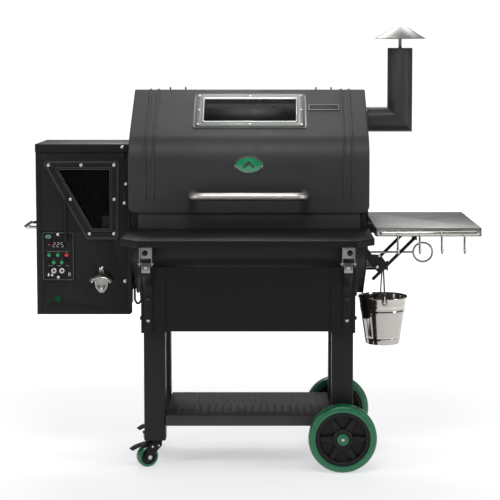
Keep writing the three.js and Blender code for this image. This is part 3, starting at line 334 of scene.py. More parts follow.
class Form:
    """Solids gathered into one mesh, which piece() turns into an object of the grill."""

    def __init__(self):
        self.mesh = bmesh.new()
        self.turn = Matrix.Identity(4)

    def at(self, matrix):
        """Solids added after this are placed by matrix."""
        self.turn = matrix
        return self

    def take(self, solid, bevel=0.0, segments=2):
        bmesh.ops.recalc_face_normals(solid, faces=solid.faces)
        if bevel:
            bmesh.ops.dissolve_limit(
                solid, angle_limit=math.radians(0.5), verts=solid.verts, edges=solid.edges
            )
            sharp = [e for e in solid.edges if e.is_manifold and e.calc_face_angle(0) > SHARP]
            bmesh.ops.bevel(
                solid, geom=sharp, offset=bevel, segments=segments, profile=0.5,
                affect="EDGES", clamp_overlap=True,
            )
        table = {v: self.mesh.verts.new(self.turn @ v.co) for v in solid.verts}
        for face in solid.faces:
            self.mesh.faces.new([table[v] for v in face.verts])
        solid.free()
        return self

    def faces(self, points, faces, bevel=0.0):
        solid = bmesh.new()
        verts = [solid.verts.new(p) for p in points]
        for face in faces:
            solid.faces.new([verts[i] for i in face])
        return self.take(solid, bevel)

    def block(self, x, y, z, bevel=0.6):
        corners = [(a, b, c) for a in x for b in y for c in z]
        sides = [(0, 1, 3, 2), (4, 6, 7, 5), (0, 4, 5, 1), (2, 3, 7, 6), (0, 2, 6, 4), (1, 5, 7, 3)]
        return self.faces(corners, sides, bevel)

    def prism(self, outline, span, axis, holes=(), bevel=0.6):
        """Flat outline with holes, extruded between two values of the third axis."""
        loops = [outline, *holes]
        flat = [p for loop in loops for p in loop]
        points = [AXES[axis] @ Vector((a, b, c)) for c in span for a, b in flat]
        count = len(flat)
        caps = tessellate_polygon([[Vector((a, b, 0)) for a, b in loop] for loop in loops])
        faces = [tuple(cap) for cap in caps] + [tuple(i + count for i in cap)[::-1] for cap in caps]
        start = 0
        for loop in loops:
            n = len(loop)
            for i in range(n):
                a, b = start + i, start + (i + 1) % n
                faces.append((a, b, b + count, a + count))
            start += n
        solid = bmesh.new()
        verts = [solid.verts.new(p) for p in points]
        for face in faces:
            solid.faces.new([verts[i] for i in face])
        bmesh.ops.recalc_face_normals(solid, faces=solid.faces)
        bmesh.ops.dissolve_limit(
            solid, angle_limit=math.radians(0.5), verts=solid.verts, edges=solid.edges
        )
        return self.take(solid, bevel)

    def lathe(self, profile, axis, centre, count=48):
        """Closed or axis-to-axis profile (radius, along) turned about an axis."""
        frame_of = {
            "x": Matrix(((0, 0, 1), (1, 0, 0), (0, 1, 0))),
            "y": Matrix(((0, 1, 0), (0, 0, 1), (1, 0, 0))),
            "z": Matrix.Identity(3),
        }[axis]
        closed = math.dist(profile[0], profile[-1]) < 1e-6
        ring_points = profile[:-1] if closed else profile
        solid = bmesh.new()
        rings = []
        for radius, along in ring_points:
            turns = [0] if radius < 1e-6 else range(count)
            rings.append([
                solid.verts.new(frame_of @ Vector((
                    radius * math.cos(2 * math.pi * t / count),
                    radius * math.sin(2 * math.pi * t / count),
                    along,
                )) + Vector(centre)) for t in turns
            ])
        pairs = list(zip(rings, rings[1:])) + ([(rings[-1], rings[0])] if closed else [])
        for low, high in pairs:
            for t in range(count):
                u = (t + 1) % count
                if len(low) == 1 and len(high) == 1:
                    break
                if len(low) == 1:
                    solid.faces.new((low[0], high[t], high[u]))
                elif len(high) == 1:
                    solid.faces.new((low[t], low[u], high[0]))
                else:
                    solid.faces.new((low[t], low[u], high[u], high[t]))
        return self.take(solid)

    def tube(self, points, radius, bend=0.0, sides=20, dome=0.0):
        """Round bar along a path whose corners are arcs of radius `bend`, with ends domed by `dome`."""
        path = smooth_path([Vector(p) for p in points], bend)
        heading = (path[1] - path[0]).normalized()
        side = heading.orthogonal().normalized()
        rings = []
        for i, point in enumerate(path):
            before = (point - path[i - 1]).normalized() if i else heading
            after = (path[i + 1] - point).normalized() if i + 1 < len(path) else before
            middle = (before + after).normalized()
            side = (side - middle * side.dot(middle)).normalized()
            stretch = 1 / max(0.3, middle.dot(before))
            rings.append((point, side.copy(), middle.cross(side), radius, stretch, before.cross(after)))
        layers = []
        for point, a, b, r, stretch, hinge in rings:
            ring_points = []
            for t in range(sides):
                angle = 2 * math.pi * t / sides
                arm = (a * math.cos(angle) + b * math.sin(angle)) * r
                if hinge.length > 1e-6:
                    across = hinge.normalized()
                    flat = arm - across * arm.dot(across)
                    arm = arm + flat * (stretch - 1)
                ring_points.append(point + arm)
            layers.append(ring_points)
        for end, outward in ((0, path[0] - path[1]), (-1, path[-1] - path[-2])):
            outward.normalize()
            centre = path[end]
            extra = []
            for k in range(1, 4 if dome else 1):
                share = math.sin(math.pi / 2 * k / 4)
                shrink = math.cos(math.pi / 2 * k / 4)
                extra.append([centre + (p - centre) * shrink + outward * dome * share for p in layers[end]])
            layers = extra[::-1] + layers if end == 0 else layers + extra
        solid = bmesh.new()
        loops = [[solid.verts.new(p) for p in layer] for layer in layers]
        for low, high in zip(loops, loops[1:]):
            for t in range(sides):
                u = (t + 1) % sides
                solid.faces.new((low[t], low[u], high[u], high[t]))
        solid.faces.new(loops[0][::-1])
        solid.faces.new(loops[-1])
        return self.take(solid)

    def rings(self, loops, closed=True):
        """Loops of equal length joined one to the next, and the last to the first when closed."""
        count = len(loops[0])
        points = [p for loop in loops for p in loop]
        faces = []
        last = len(loops) if closed else len(loops) - 1
        for k in range(last):
            a0, b0 = k * count, ((k + 1) % len(loops)) * count
            for i in range(count):
                j = (i + 1) % count
                faces.append((a0 + i, a0 + j, b0 + j, b0 + i))
        if not closed:
            faces.append(tuple(range(count))[::-1])
            faces.append(tuple(last * count + i for i in range(count)))
        return self.faces(points, faces)

    def sheet(self, outer, inner, is_open=lambda i, j: False):
        """Two matching grids of points joined into a sheet of metal, with openings through it."""
        rows, columns = len(outer), len(outer[0])
        count = rows * columns
        points = [p for grid in (outer, inner) for row in grid for p in row]
        faces, rim = [], {}
        for i in range(rows - 1):
            for j in range(columns - 1):
                if is_open(i, j):
                    continue
                a = i * columns + j
                cell = (a, a + 1, a + columns + 1, a + columns)
                faces += [cell, tuple(k + count for k in cell[::-1])]
                for edge in zip(cell, cell[1:] + cell[:1]):
                    key = tuple(sorted(edge))
                    rim[key] = None if key in rim else edge
        for edge in filter(None, rim.values()):
            faces.append((edge[1], edge[0], edge[0] + count, edge[1] + count))
        return self.faces(points, faces)

    def piece(self, name, material, body, slot, *replaced):
        """The gathered solids as one object that rides on a body."""
        data = bpy.data.meshes.new(name)
        bmesh.ops.transform(
            self.mesh, matrix=Matrix.Translation((0, BARREL_Y, 0)) @ Matrix.Scale(MM, 4),
            verts=self.mesh.verts,
        )
        self.mesh.to_mesh(data)
        self.mesh.free()
        data.polygons.foreach_set("use_smooth", [True] * len(data.polygons))
        data.set_sharp_from_angle(angle=SHARP)
        data.materials.append(material)
        piece = bpy.data.objects.new(name, data)
        bpy.context.scene.collection.objects.link(piece)
        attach(piece, body)
        if replaced:
            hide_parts(*replaced)
        return piece


def smooth_path(points, bend, step=12.0):
    """A path whose inner corners are replaced by arcs."""
    if not bend:
        return points
    path = [points[0]]
    for before, corner, after in zip(points, points[1:], points[2:]):
        a, b = (before - corner), (after - corner)
        turn = math.pi - a.angle(b)
        if turn < 0.02:
            path.append(corner)
            continue
        reach = min(bend * math.tan(turn / 2), a.length * 0.49, b.length * 0.49)
        radius = reach / math.tan(turn / 2)
        a.normalize()
        b.normalize()
        centre = corner + (a + b).normalized() * radius / math.cos(turn / 2)
        start = corner + a * reach - centre
        axis = start.cross(corner + b * reach - centre).normalized()
        steps = max(2, math.ceil(math.degrees(turn) / step))
        for s in range(steps + 1):
            path.append(centre + Matrix.Rotation(turn * s / steps, 3, axis) @ start)
    path.append(points[-1])
    return path


def towards(direction, point):
    """A frame whose +z looks along direction, at point."""
    turn = Vector((0, 0, 1)).rotation_difference(Vector(direction)).to_matrix().to_4x4()
    return Matrix.Translation(point) @ turn


def keep(node, material, bevel=0.5):
    """A CAD node that is shown as it is, with its edges eased and a better finish."""
    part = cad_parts[node]
    part.data.materials.clear()
    part.data.materials.append(material)
    if bevel:
        weld = part.modifiers.new("weld", "WELD")
        weld.merge_threshold = 0.01 * MM
        ease = part.modifiers.new("ease", "BEVEL")
        ease.width = bevel * MM
        ease.segments = 2
        ease.limit_method = "ANGLE"
        ease.angle_limit = SHARP
    return part


# ---------------------------------------------------------------- fasteners
def pan_head(form, point, direction, radius=4.0):
    """Domed screw head with a cross recess."""
    form.at(towards(direction, point))
    rings, spokes, height = 6, 32, radius * 0.55
    grid = []
    for k in range(rings + 1):
        r = radius * k / rings
        loop = []
        for t in range(spokes):
            angle = 2 * math.pi * t / spokes
            x, y = r * math.cos(angle), r * math.sin(angle)
            z = height * math.sqrt(max(0.0, 1 - (r / radius) ** 2) * 0.85 + 0.15)
            arm = min(abs(x), abs(y)) < radius * 0.12 and max(abs(x), abs(y)) < radius * 0.5
            loop.append(Vector((x, y, z - height * 0.25 * arm)))
        grid.append(loop)
    grid.append([Vector((p.x, p.y, -0.3)) for p in grid[-1]])
    form.rings(grid[1:][::-1], closed=False)
    form.at(Matrix.Identity(4))


def hex_head(form, point, direction, across=11.0, washer=7.5):
    """Hexagon head on a washer."""
    form.at(towards(direction, point))
    form.lathe([(0, -0.2), (washer, -0.2), (washer, 1.0), (washer - 0.5, 1.4), (0, 1.4)], "z", (0, 0, 0), 28)
    corner = across / math.sqrt(3)
    form.prism(circle((0, 0), corner, 6), (1.3, 6.2), "z", bevel=0.7)
    form.at(Matrix.Identity(4))


def dome_head(form, point, direction, radius=6.0, height=4.0):
    """Button head with a hexagon socket."""
    form.at(towards(direction, point))
    dome = [(radius * math.cos(math.radians(a)), height * math.sin(math.radians(a))) for a in (0, 20, 40, 58)]
    socket = [(radius * 0.42, height * 0.86), (radius * 0.4, height * 0.35), (0, height * 0.3)]
    form.lathe([(0, -0.3), (radius, -0.3), *dome, *socket], "z", (0, 0, 0), 24)
    form.at(Matrix.Identity(4))


FRONTWARD = (0, -1, 0)


def studs(name, material, body, slot, head, spots, direction, *size):
    """Fasteners of one kind that all look along direction, as one piece."""
    form = Form()
    for spot in spots:
        head(form, spot, direction, *size)
    form.piece(name, material, body, slot)


# ---------------------------------------------------------------- camera, light and floor
CAMERA_X, CAMERA_DISTANCE, CAMERA_Z = 64.2, 4556, 1223.5
CAMERA_PITCH = math.radians(4.48)
LENS_RATIO = 2.9965  # focal length over frame width
SHIFT_X, SHIFT_Y = -0.04, -0.15
FLOOR_R = 8


def studio():
    camera = bpy.data.objects.new("camera", bpy.data.cameras.new("camera"))
    bpy.context.scene.collection.objects.link(camera)
    camera.data.sensor_width = 36
    camera.data.lens = 36 * LENS_RATIO
    camera.data.shift_x = SHIFT_X
    camera.data.shift_y = SHIFT_Y
    camera.data.clip_end = 200
    camera.location = to_frame((CAMERA_X, -CAMERA_DISTANCE, CAMERA_Z))
    camera.rotation_euler = (math.pi / 2 - CAMERA_PITCH, 0, 0)
    bpy.context.scene.camera = camera

    lights = [
        # name, place, aimed at, width, height (metres), watts
        ("key_overhead", (0.1, -1.9, 3.2), (0, 0.1, 0.9), 1.5, 1.0, 58),
        ("fill_left", (-3.0, -1.8, 1.6), (-0.2, 0.1, 0.7), 0.9, 2.2, 30),
        ("fill_right", (3.0, -1.4, 1.5), (0.3, 0.1, 0.7), 0.8, 2.2, 26),
        ("back_top", (0.0, 2.4, 2.9), (0, 0.2, 0.9), 2.6, 1.2, 60),
        ("roof_glow", (0.0, 0.75, 3.1), (0, 0.05, 1.06), 0.5, 0.4, 10),
    ]
    for name, place, aim, width, height, watts in lights:
        data = bpy.data.lights.new(name, "AREA")
        data.shape = "RECTANGLE"
        data.size, data.size_y, data.energy = width, height, watts
        lamp = bpy.data.objects.new(name, data)
        bpy.context.scene.collection.objects.link(lamp)
        lamp.location = place
        lamp.rotation_euler = (Vector(aim) - Vector(place)).to_track_quat("-Z", "Y").to_euler()

    world = bpy.data.worlds.new("studio")
    bpy.context.scene.world = world
    world.use_nodes = True
    nodes, links = world.node_tree.nodes, world.node_tree.links
    place = nodes.new("ShaderNodeTexCoord")
    split = nodes.new("ShaderNodeSeparateXYZ")
    links.new(place.outputs["Generated"], split.inputs[0])
    sky = nodes.new("ShaderNodeValToRGB")
    stops = [(0.0, 0.05), (0.45, 0.06), (0.6, 0.12), (1.0, 0.35)]
    while len(sky.color_ramp.elements) < len(stops):
        sky.color_ramp.elements.new(0.5)
    for element, (position, grey) in zip(sky.color_ramp.elements, stops):
        element.position = position
        element.color = (grey, grey, grey, 1)
    raise_up = nodes.new("ShaderNodeMapRange")
    raise_up.inputs["From Min"].default_value = -1
    links.new(split.outputs["Z"], raise_up.inputs["Value"])
    links.new(raise_up.outputs["Result"], sky.inputs["Fac"])
    seen = nodes.new("ShaderNodeLightPath")
    pick = nodes.new("ShaderNodeMixRGB")
    links.new(seen.outputs["Is Camera Ray"], pick.inputs["Fac"])
    links.new(sky.outputs["Color"], pick.inputs["Color1"])
    pick.inputs["Color2"].default_value = (1.05, 1.05, 1.05, 1)
    links.new(pick.outputs["Color"], nodes["Background"].inputs["Color"])

    # The floor glows: painted light that lifts it to the white of the backdrop away from the grill, fading to
    # half the glow towards the grill so the lamps' shadows show there.
    tree = Tree("studio_floor", (0.5, 0.5, 0.5), 0.9, Emission_Strength=1.06)
    reach = tree.nodes.new("ShaderNodeTexGradient")
    reach.gradient_type = "SPHERICAL"
    tree.links.new(tree.stretched((0.3, 0.3, 0.3)), reach.inputs["Vector"])
    tree.feed(
        "Emission Color", tree.colours(reach.outputs["Fac"], (0.05, (1, 1, 1)), (0.6, (0.5, 0.5, 0.51))),
    )
    mottle = tree.noise(0.8, 2)
    tree.feed("Base Color", tree.colours(mottle, (0.3, (0.49, 0.49, 0.49)), (0.7, (0.51, 0.51, 0.51))))
    data = bpy.data.meshes.new("floor")
    rim = [(x, y, 0) for x, y in circle((0, 0), FLOOR_R, 96)]
    data.from_pydata(rim, [], [tuple(range(len(rim)))])
    data.materials.append(tree.material)
    floor = bpy.data.objects.new("floor", data)
    bpy.context.scene.collection.objects.link(floor)
    bpy.context.scene.view_settings.view_transform = "Standard"


studio()

# ---------------------------------------------------------------- the barrel's cross-section
HALF_DEPTH, SHOULDER_Z, RIDGE_Z, HIP_Z, KEEL_Z = 244, 970, 1129.5, 645, 484
SHOULDER_R, RIDGE_R, HIP_R, KEEL_R = 100, 12, 60, 80
ROOF_SLOPE = (RIDGE_Z - SHOULDER_Z) / HALF_DEPTH
BELLY_SLOPE = (HIP_Z - KEEL_Z) / HALF_DEPTH
ROOF, BELLY = math.atan(ROOF_SLOPE), math.atan(BELLY_SLOPE)
SKIN = 2.5


def roof_z(y, inset=0.0):
    return RIDGE_Z - abs(y) * ROOF_SLOPE - inset / math.cos(ROOF)


def barrel_corners(inset):
    depth = HALF_DEPTH - inset
    shoulder = SHOULDER_Z + inset * (ROOF_SLOPE - 1 / math.cos(ROOF))
    hip = HIP_Z - inset * (BELLY_SLOPE - 1 / math.cos(BELLY))
    return {
        "front_hip": (-depth, hip, HIP_R - inset),
        "front_shoulder": (-depth, shoulder, SHOULDER_R - inset),
        "ridge": (0, roof_z(0, inset), RIDGE_R - inset),
        "rear_shoulder": (depth, shoulder, SHOULDER_R - inset),
        "rear_hip": (depth, hip, HIP_R - inset),
        "keel": (0, KEEL_Z + inset / math.cos(BELLY), KEEL_R - inset),
    }


def barrel_outline(inset):
    c = barrel_corners(inset)
    order = ("front_hip", "keel", "rear_hip", "rear_shoulder", "ridge", "front_shoulder")
    return rounded([c[name] for name in order])


# ---------------------------------------------------------------- barrel
SHELL_INSET, PANEL_INSET = 6, 4
LID_LOW, LID_HIGH = box("lid")
HINGE_X, HINGE_Y, HINGE_Z = (-219, 229), 64, 1112
CHIMNEY_Y, CHIMNEY_Z, FLUE_R = 40, 1035, 38
SHIELD_Y, SHIELD_Z, SHIELD_R = -80, 640, 3.2
SPOUT_Z, SPOUT_R = 588, 13
AUGER_Z, AUGER_TUBE_R = 560, 27
SIDE_PIVOT_X, SIDE_PIVOT_Z, SIDE_LUG_Y = 364, 722, (-150, 150)
STAY_Y = (-195, 31)


def barrel_shell():
    low, high = box("barrel_shell")
    c = barrel_corners(SHELL_INSET)
    front = (c["front_hip"][0], LID_LOW.z + 16)
    top = (46, roof_z(46, SHELL_INSET))
    run = [front, c["front_hip"], c["keel"], c["rear_hip"], c["rear_shoulder"], top]
    form = Form().prism(bent_sheet(run, SKIN), (low.x, high.x), "x", bevel=0.5)
    form.piece("barrel_wrap", COAT, "cart", "black_coat", "barrel_shell")
    # A thin sheet of the paler coat laid over the barrel's front below the lid: painted sheen that lightens
    # that strip.
    band, face = Form(), c["front_hip"][0]
    band.block((low.x + 19, high.x - 19), (face - 0.7, face + 0.2), (700, front[1] - 1), 0.3)
    band.piece("barrel_front_painted_sheen", PAINTED_SHEEN_COAT, "cart", "black_coat")
    ears = Form()
    for x in HINGE_X:
        for side in (-1, 1):
            ear_x = x + side * 23.5
            rest = SHELL_INSET + 1
            outline = [
                (78, roof_z(78, rest)), (106, roof_z(106, rest)), (76, 1132, 5), (60, 1134, 5),
                (56, 1108, 3), (64, 1100, 3),
            ]
            ears.prism(rounded(outline), (ear_x - 2, ear_x + 2), "x")
        ears.lathe([(0, -27), (4, -27), (4, 27), (0, 27)], "x", (x, HINGE_Y, HINGE_Z), 24)
    ears.piece("lid_hinge_ears", COAT, "cart", "black_coat")
    rivets = Form()
    for x in (low.x + 14, (low.x + high.x) / 2, high.x - 14):
        for z in (700, 780, 860, 930):
            dome_head(rivets, (x, HALF_DEPTH - SHELL_INSET, z), (0, 1, 0), 4.2, 2.2)
    rivets.piece("rear_rivets", BLACK_BOLT, "cart", "black_coat")


def end_panel(side):
    """Hexagonal end plate with its front return and grate ledge."""
    name = "end_panel_left" if side < 0 else "end_panel_right"
    inner = box("barrel_shell")[0 if side < 0 else 1].x + side * 0.4
    outer = inner + side * 3.5
    span = sorted((inner, outer))
    if side < 0:
        holes = [circle((0, AUGER_Z), AUGER_TUBE_R + 0.4)]
    else:
        holes = [
            circle((CHIMNEY_Y, CHIMNEY_Z), FLUE_R - 1.5), circle((0, SPOUT_Z), SPOUT_R + 0.4, 20),
            circle((SHIELD_Y, SHIELD_Z), SHIELD_R + 1, 16),
        ]
    form = Form().prism(barrel_outline(PANEL_INSET), span, "x", holes, bevel=0.6)
    face = -(HALF_DEPTH - PANEL_INSET)
    form.block(sorted((inner - side * 18.5, outer)), (face, face + 1.6), (668, 790), 0.5)
    form.block(sorted((inner - side * 16, outer)), (-200, 200), (751, 757))
    if side > 0:
        for y in SIDE_LUG_Y:
            for at in (y - 14, y + 11):
                form.block((outer - 1, SIDE_PIVOT_X + 5), (at, at + 3), (708, 734), 1.0)
            form.lathe([(0, -16), (3, -16), (3, 16), (0, 16)], "y", (SIDE_PIVOT_X, y, SIDE_PIVOT_Z), 20)
    form.piece(name + "_sheet", COAT, "cart", "black_coat", name)
    screws = [(y, z) for y in (-205, 205) for z in (640, 860)] + [
        (-90, 1030), (110, 1020), (-100, 590), (100, 590),
    ]
    spots = [(outer, y, z) for y, z in screws]
    studs(name + "_screws", BOLT_STEEL, "cart", "stainless", pan_head, spots, (side, 0, 0), 4.0)


barrel_shell()
end_panel(-1)
end_panel(1)


# ---------------------------------------------------------------- lid
RIB_X, RIB_HALF, RIB_HEIGHT, RIB_FOOT = (-297, -273, 279, 303), 4.2, 2.9, 820
LID_EDGE_R, LID_RETURN, LID_CORNER_R = 4, 10, 20
WINDOW_X, WINDOW_Y = 5, -98
CUTOUT_X, CUTOUT_V = 150, 71.5
ROOF_FRAME = Matrix.Translation((WINDOW_X, WINDOW_Y, roof_z(WINDOW_Y))) @ Matrix.Rotation(ROOF, 4, "X")


def lid_run():
    """Points and outward normals of the lid's outer face, from its rear edge to its front edge."""
    c = barrel_corners(0)
    rear = 56
    points = rounded(
        [(rear, roof_z(rear)), c["ridge"], c["front_shoulder"], (-HALF_DEPTH, LID_LOW.z)], False, 3,
    )
    reach = CUTOUT_V * math.cos(ROOF)
    cuts_y = (WINDOW_Y + reach, WINDOW_Y + reach / 2, WINDOW_Y, WINDOW_Y - reach / 2, WINDOW_Y - reach)
    cuts_z = (905, 880, 850, 832, 828, 826, 824, 822, 820, 818, 816, 800, 790, 782)
    run = [points[0]]
    for a, b in zip(points, points[1:]):
        if math.dist(a, b) > 20:
            if abs(a[1] - b[1]) < 200 and abs(a[0] - b[0]) > 1:
                run += [
                    (y, a[1] + (b[1] - a[1]) * (y - a[0]) / (b[0] - a[0]))
                    for y in cuts_y if b[0] < y < a[0]
                ]
            else:
                run += [(a[0], z) for z in cuts_z if b[1] < z < a[1]]
        run.append(b)
    normals = []
    for i in range(len(run)):
        dy, dz = unit(run[max(i - 1, 0)], run[min(i + 1, len(run) - 1)])
        normals.append((dz, -dy))
    return run, normals


def lid_stations(depth):
    """(x, inset) of the rows of points across the lid, `depth` under its outer face."""
    left, right = LID_LOW.x, LID_HIGH.x
    radius = LID_EDGE_R - depth
    end = [(depth, LID_RETURN)] + [
        (LID_EDGE_R - radius * math.cos(math.radians(a)), LID_EDGE_R - radius * math.sin(math.radians(a)))
        for a in range(0, 91, 15)
    ]
    end += [(t, depth) for t in (7, 10, 13, 16, 20)]
    middle = [x + d * RIB_HALF for x in RIB_X for d in (-1, -0.8, -0.45, 0, 0.45, 0.8, 1)]
    middle += [WINDOW_X - CUTOUT_X, WINDOW_X, WINDOW_X + CUTOUT_X, -225, 225]
    rows = [(left + t, inset) for t, inset in end]
    rows += [(x, depth) for x in sorted(middle)]
    return rows + [(right - t, inset) for t, inset in reversed(end)]


def lid_shell():
    run, normals = lid_run()
    left, right, bottom = LID_LOW.x, LID_HIGH.x, LID_LOW.z

    def grid(depth):
        rows = []
        for x, inset in lid_stations(depth):
            t = min(x - left, right - x, LID_CORNER_R)
            foot = bottom + LID_CORNER_R - math.sqrt(LID_CORNER_R**2 - (LID_CORNER_R - t) ** 2)
            nearest = min(RIB_X, key=lambda rib: abs(rib - x))
            across = max(0.0, 1 - ((x - nearest) / RIB_HALF) ** 2)
            row = []
            for (y, z), (ny, nz) in zip(run, normals):
                fade = min(1.0, max(0.0, (z - RIB_FOOT + 4) / 9))
                lift = RIB_HEIGHT * math.sqrt(across) * fade - inset
                if z < 800:
                    z = foot + (z - bottom) * (800 - foot) / (800 - bottom)
                row.append(Vector((x, y + ny * lift, z + nz * lift)))
            rows.append(row)
        return rows

    stations = lid_stations(0)

    def is_open(i, j):
        x = (stations[i][0] + stations[i + 1][0]) / 2
        y, z = (run[j][0] + run[j + 1][0]) / 2, run[j][1]
        reach = CUTOUT_V * math.cos(ROOF)
        return abs(x - WINDOW_X) < CUTOUT_X and abs(y - WINDOW_Y) < reach and z > SHOULDER_Z

    Form().sheet(grid(0), grid(SKIN), is_open).piece("lid_shell", PAINTED_SHEEN_COAT, "lid", "lid_coat", "lid")
    knuckles = Form()
    for x in HINGE_X:
        span = (x - 21, x + 21)
        arm = [(26, roof_z(26) - 1), (52, roof_z(52) - 1), (64, 1105), (58, 1114, 4)]
        knuckles.prism(rounded(arm), span, "x")
        knuckles.lathe([(4.6, -21), (7, -21), (7, 21), (4.6, 21), (4.6, -21)], "x", (x, HINGE_Y, HINGE_Z), 32)
    knuckles.piece("lid_knuckles", PAINTED_SHEEN_COAT, "lid", "lid_coat")
    spots = [(x, -HALF_DEPTH, RIB_FOOT - 3) for x in RIB_X]
    studs("lid_rib_plugs", BLACK_BOLT, "lid", "black_plastic", dome_head, spots, FRONTWARD, 2.6, 1.2)


def frame_loops(steps):
    """Rounded rectangles given as (half width, half height, radius, height)."""
    return [
        [Vector((a, b, h)) for a, b in rectangle((-w, -v), (w, v), r)] for w, v, r, h in steps
    ]


def lid_window():
    flange = [
        (168, 89.5, 13, 0.4), (168, 89.5, 13, 1.6), (167.4, 88.9, 12, 2.4), (166.4, 87.9, 11, 2.4),
        (165.6, 87.1, 10.5, 0.6), (162.6, 84.1, 10, 0.6), (161.8, 83.3, 9, 3.2), (160.6, 82, 8.5, 3.6),
        (144.5, 66, 7, 3.6), (143.6, 65.1, 6.8, 2.2), (142.4, 63.9, 6.6, 2.2), (142.4, 63.9, 6.6, 0.4),
    ]
    lip = [
        (142.3, 63.8, 6.6, 0.4), (142.3, 63.8, 6.6, 2.4), (141.4, 62.9, 6.4, 5.0), (140, 61.5, 6, 5.8),
        (137.6, 59.1, 5.5, 5.8), (136, 57.5, 4.6, 4.4), (135, 56.5, 4, 1.0), (135, 56.5, 4, 0.4),
    ]
    form = Form()
    form.at(ROOF_FRAME).rings(frame_loops(flange)).at(Matrix.Identity(4))
    form.piece("window_frame", WINDOW_STEEL, "lid", "stainless", "lid_window_frame")
    # The inner lip in paler steel than the frame: painted highlight.
    form = Form()
    form.at(ROOF_FRAME).rings(frame_loops(lip)).at(Matrix.Identity(4))
    form.piece("window_lip", WINDOW_LIP, "lid", "stainless")
    up = ROOF_FRAME.to_3x3() @ Vector((0, 0, 1))
    spots = [ROOF_FRAME @ Vector((u, v, 3.8)) for u in (-152, 0, 152) for v in (-73, 0, 73) if u or v]
    studs("window_screws", BOLT_STEEL, "lid", "stainless", pan_head, spots, up, 3.8)
    keep("lid_glass", LID_GLASS, 0.6)


def lid_badge():
    """Blank name plate on the roof slope."""
    place = Matrix.Translation((225, -84, roof_z(-84))) @ Matrix.Rotation(ROOF, 4, "X")
    rim = [
        (46, 14, 4, 0.1), (46, 14, 4, 1.8), (45.2, 13.2, 3.4, 2.5), (43.6, 11.6, 2.6, 2.5),
        (43, 11, 2, 1.4), (43, 11, 2, 0.1),
    ]
    form = Form()
    form.at(place).rings(frame_loops(rim)).piece("badge_rim", WINDOW_STEEL, "lid", "stainless")
    face = [(43.1, 11.1, 2, 0.2), (43.1, 11.1, 2, 1.3), (40, 8, 1.5, 1.6)]
    form = Form()
    form.at(place).rings(frame_loops(face), closed=False)
    form.piece("badge_face", PANEL_FACE, "lid", "black_plastic")


EMBLEM_X, EMBLEM_Z = 3, 915


def on_lid_face(u, v, height):
    """Point `height` in front of the lid's face, at (u, v) from the emblem's centre."""
    z = EMBLEM_Z + v
    start = SHOULDER_Z - SHOULDER_R * math.tan((math.pi / 2 - ROOF) / 2)
    centre_y = SHOULDER_R - HALF_DEPTH
    rise = max(0.0, z - start)
    y = centre_y - math.sqrt(SHOULDER_R**2 - rise**2)
    return Vector((EMBLEM_X + u, y - height, z))


def lid_emblem():
    """Plain oval enamel emblem with a bright rim and one bright chevron."""
    def ovals(steps):
        return [
            [
                on_lid_face(w * math.cos(t), v * math.sin(t), h)
                for t in (2 * math.pi * i / 72 for i in range(72))
            ]
            for w, v, h in steps
        ]

    rim = [(41, 25, -0.1), (41, 25, 1.4), (40, 24, 2.2), (37.6, 21.6, 2.2), (37, 21, 1.4), (37, 21, -0.1)]
    Form().rings(ovals(rim)).piece("emblem_rim", CHROME, "lid", "polished_steel")
    face = [(37.1, 21.1, 0.0), (37.1, 21.1, 1.2), (28, 15, 1.8), (16, 8.5, 2.2), (5, 2.5, 2.3)]
    Form().rings(ovals(face), closed=False).piece("emblem_face", ENAMEL, "lid", "tyre_green")
    chevron = Form()
    outline = rounded(
        [(-19, -6.5, 1), (-13, -8.5, 1), (0, 4, 2), (13, -8.5, 1), (19, -6.5, 1), (0, 12, 3)], step=15,
    )
    loops = [
        [on_lid_face(a * scale, b * scale, height) for a, b in outline]
        for scale, height in ((1, 1.0), (1, 2.6), (0.96, 3.0))
    ]
    chevron.rings(loops, closed=False)
    chevron.piece("emblem_chevron", CHROME, "lid", "polished_steel")


def lid_handle():
    low, high = box("lid_handle")
    radius = 12
    bar_y = low.y + radius
    bar_z = (low.z + high.z) / 2
    ends = (low.x + radius, high.x - radius)
    wall = -HALF_DEPTH - 0.5
    path = [(ends[0], wall, bar_z), (ends[0], bar_y, bar_z), (ends[1], bar_y, bar_z), (ends[1], wall, bar_z)]
    form = Form().tube(path, radius, bend=30, sides=32)
    form.piece("handle_bar", HANDLE_STEEL, "lid", "stainless", "lid_handle")
    bases = Form()
    for x in ends:
        cup = [(12.4, 0), (17, 0), (17, -3.5), (16, -5.6), (14.2, -6.6), (12.4, -6.6), (12.4, 0)]
        bases.lathe(cup, "y", (x, wall, bar_z), 40)
    bases.piece("handle_bases", PAINTED_SHEEN_COAT, "lid", "lid_coat")


lid_shell()
lid_window()
lid_badge()
lid_emblem()
lid_handle()


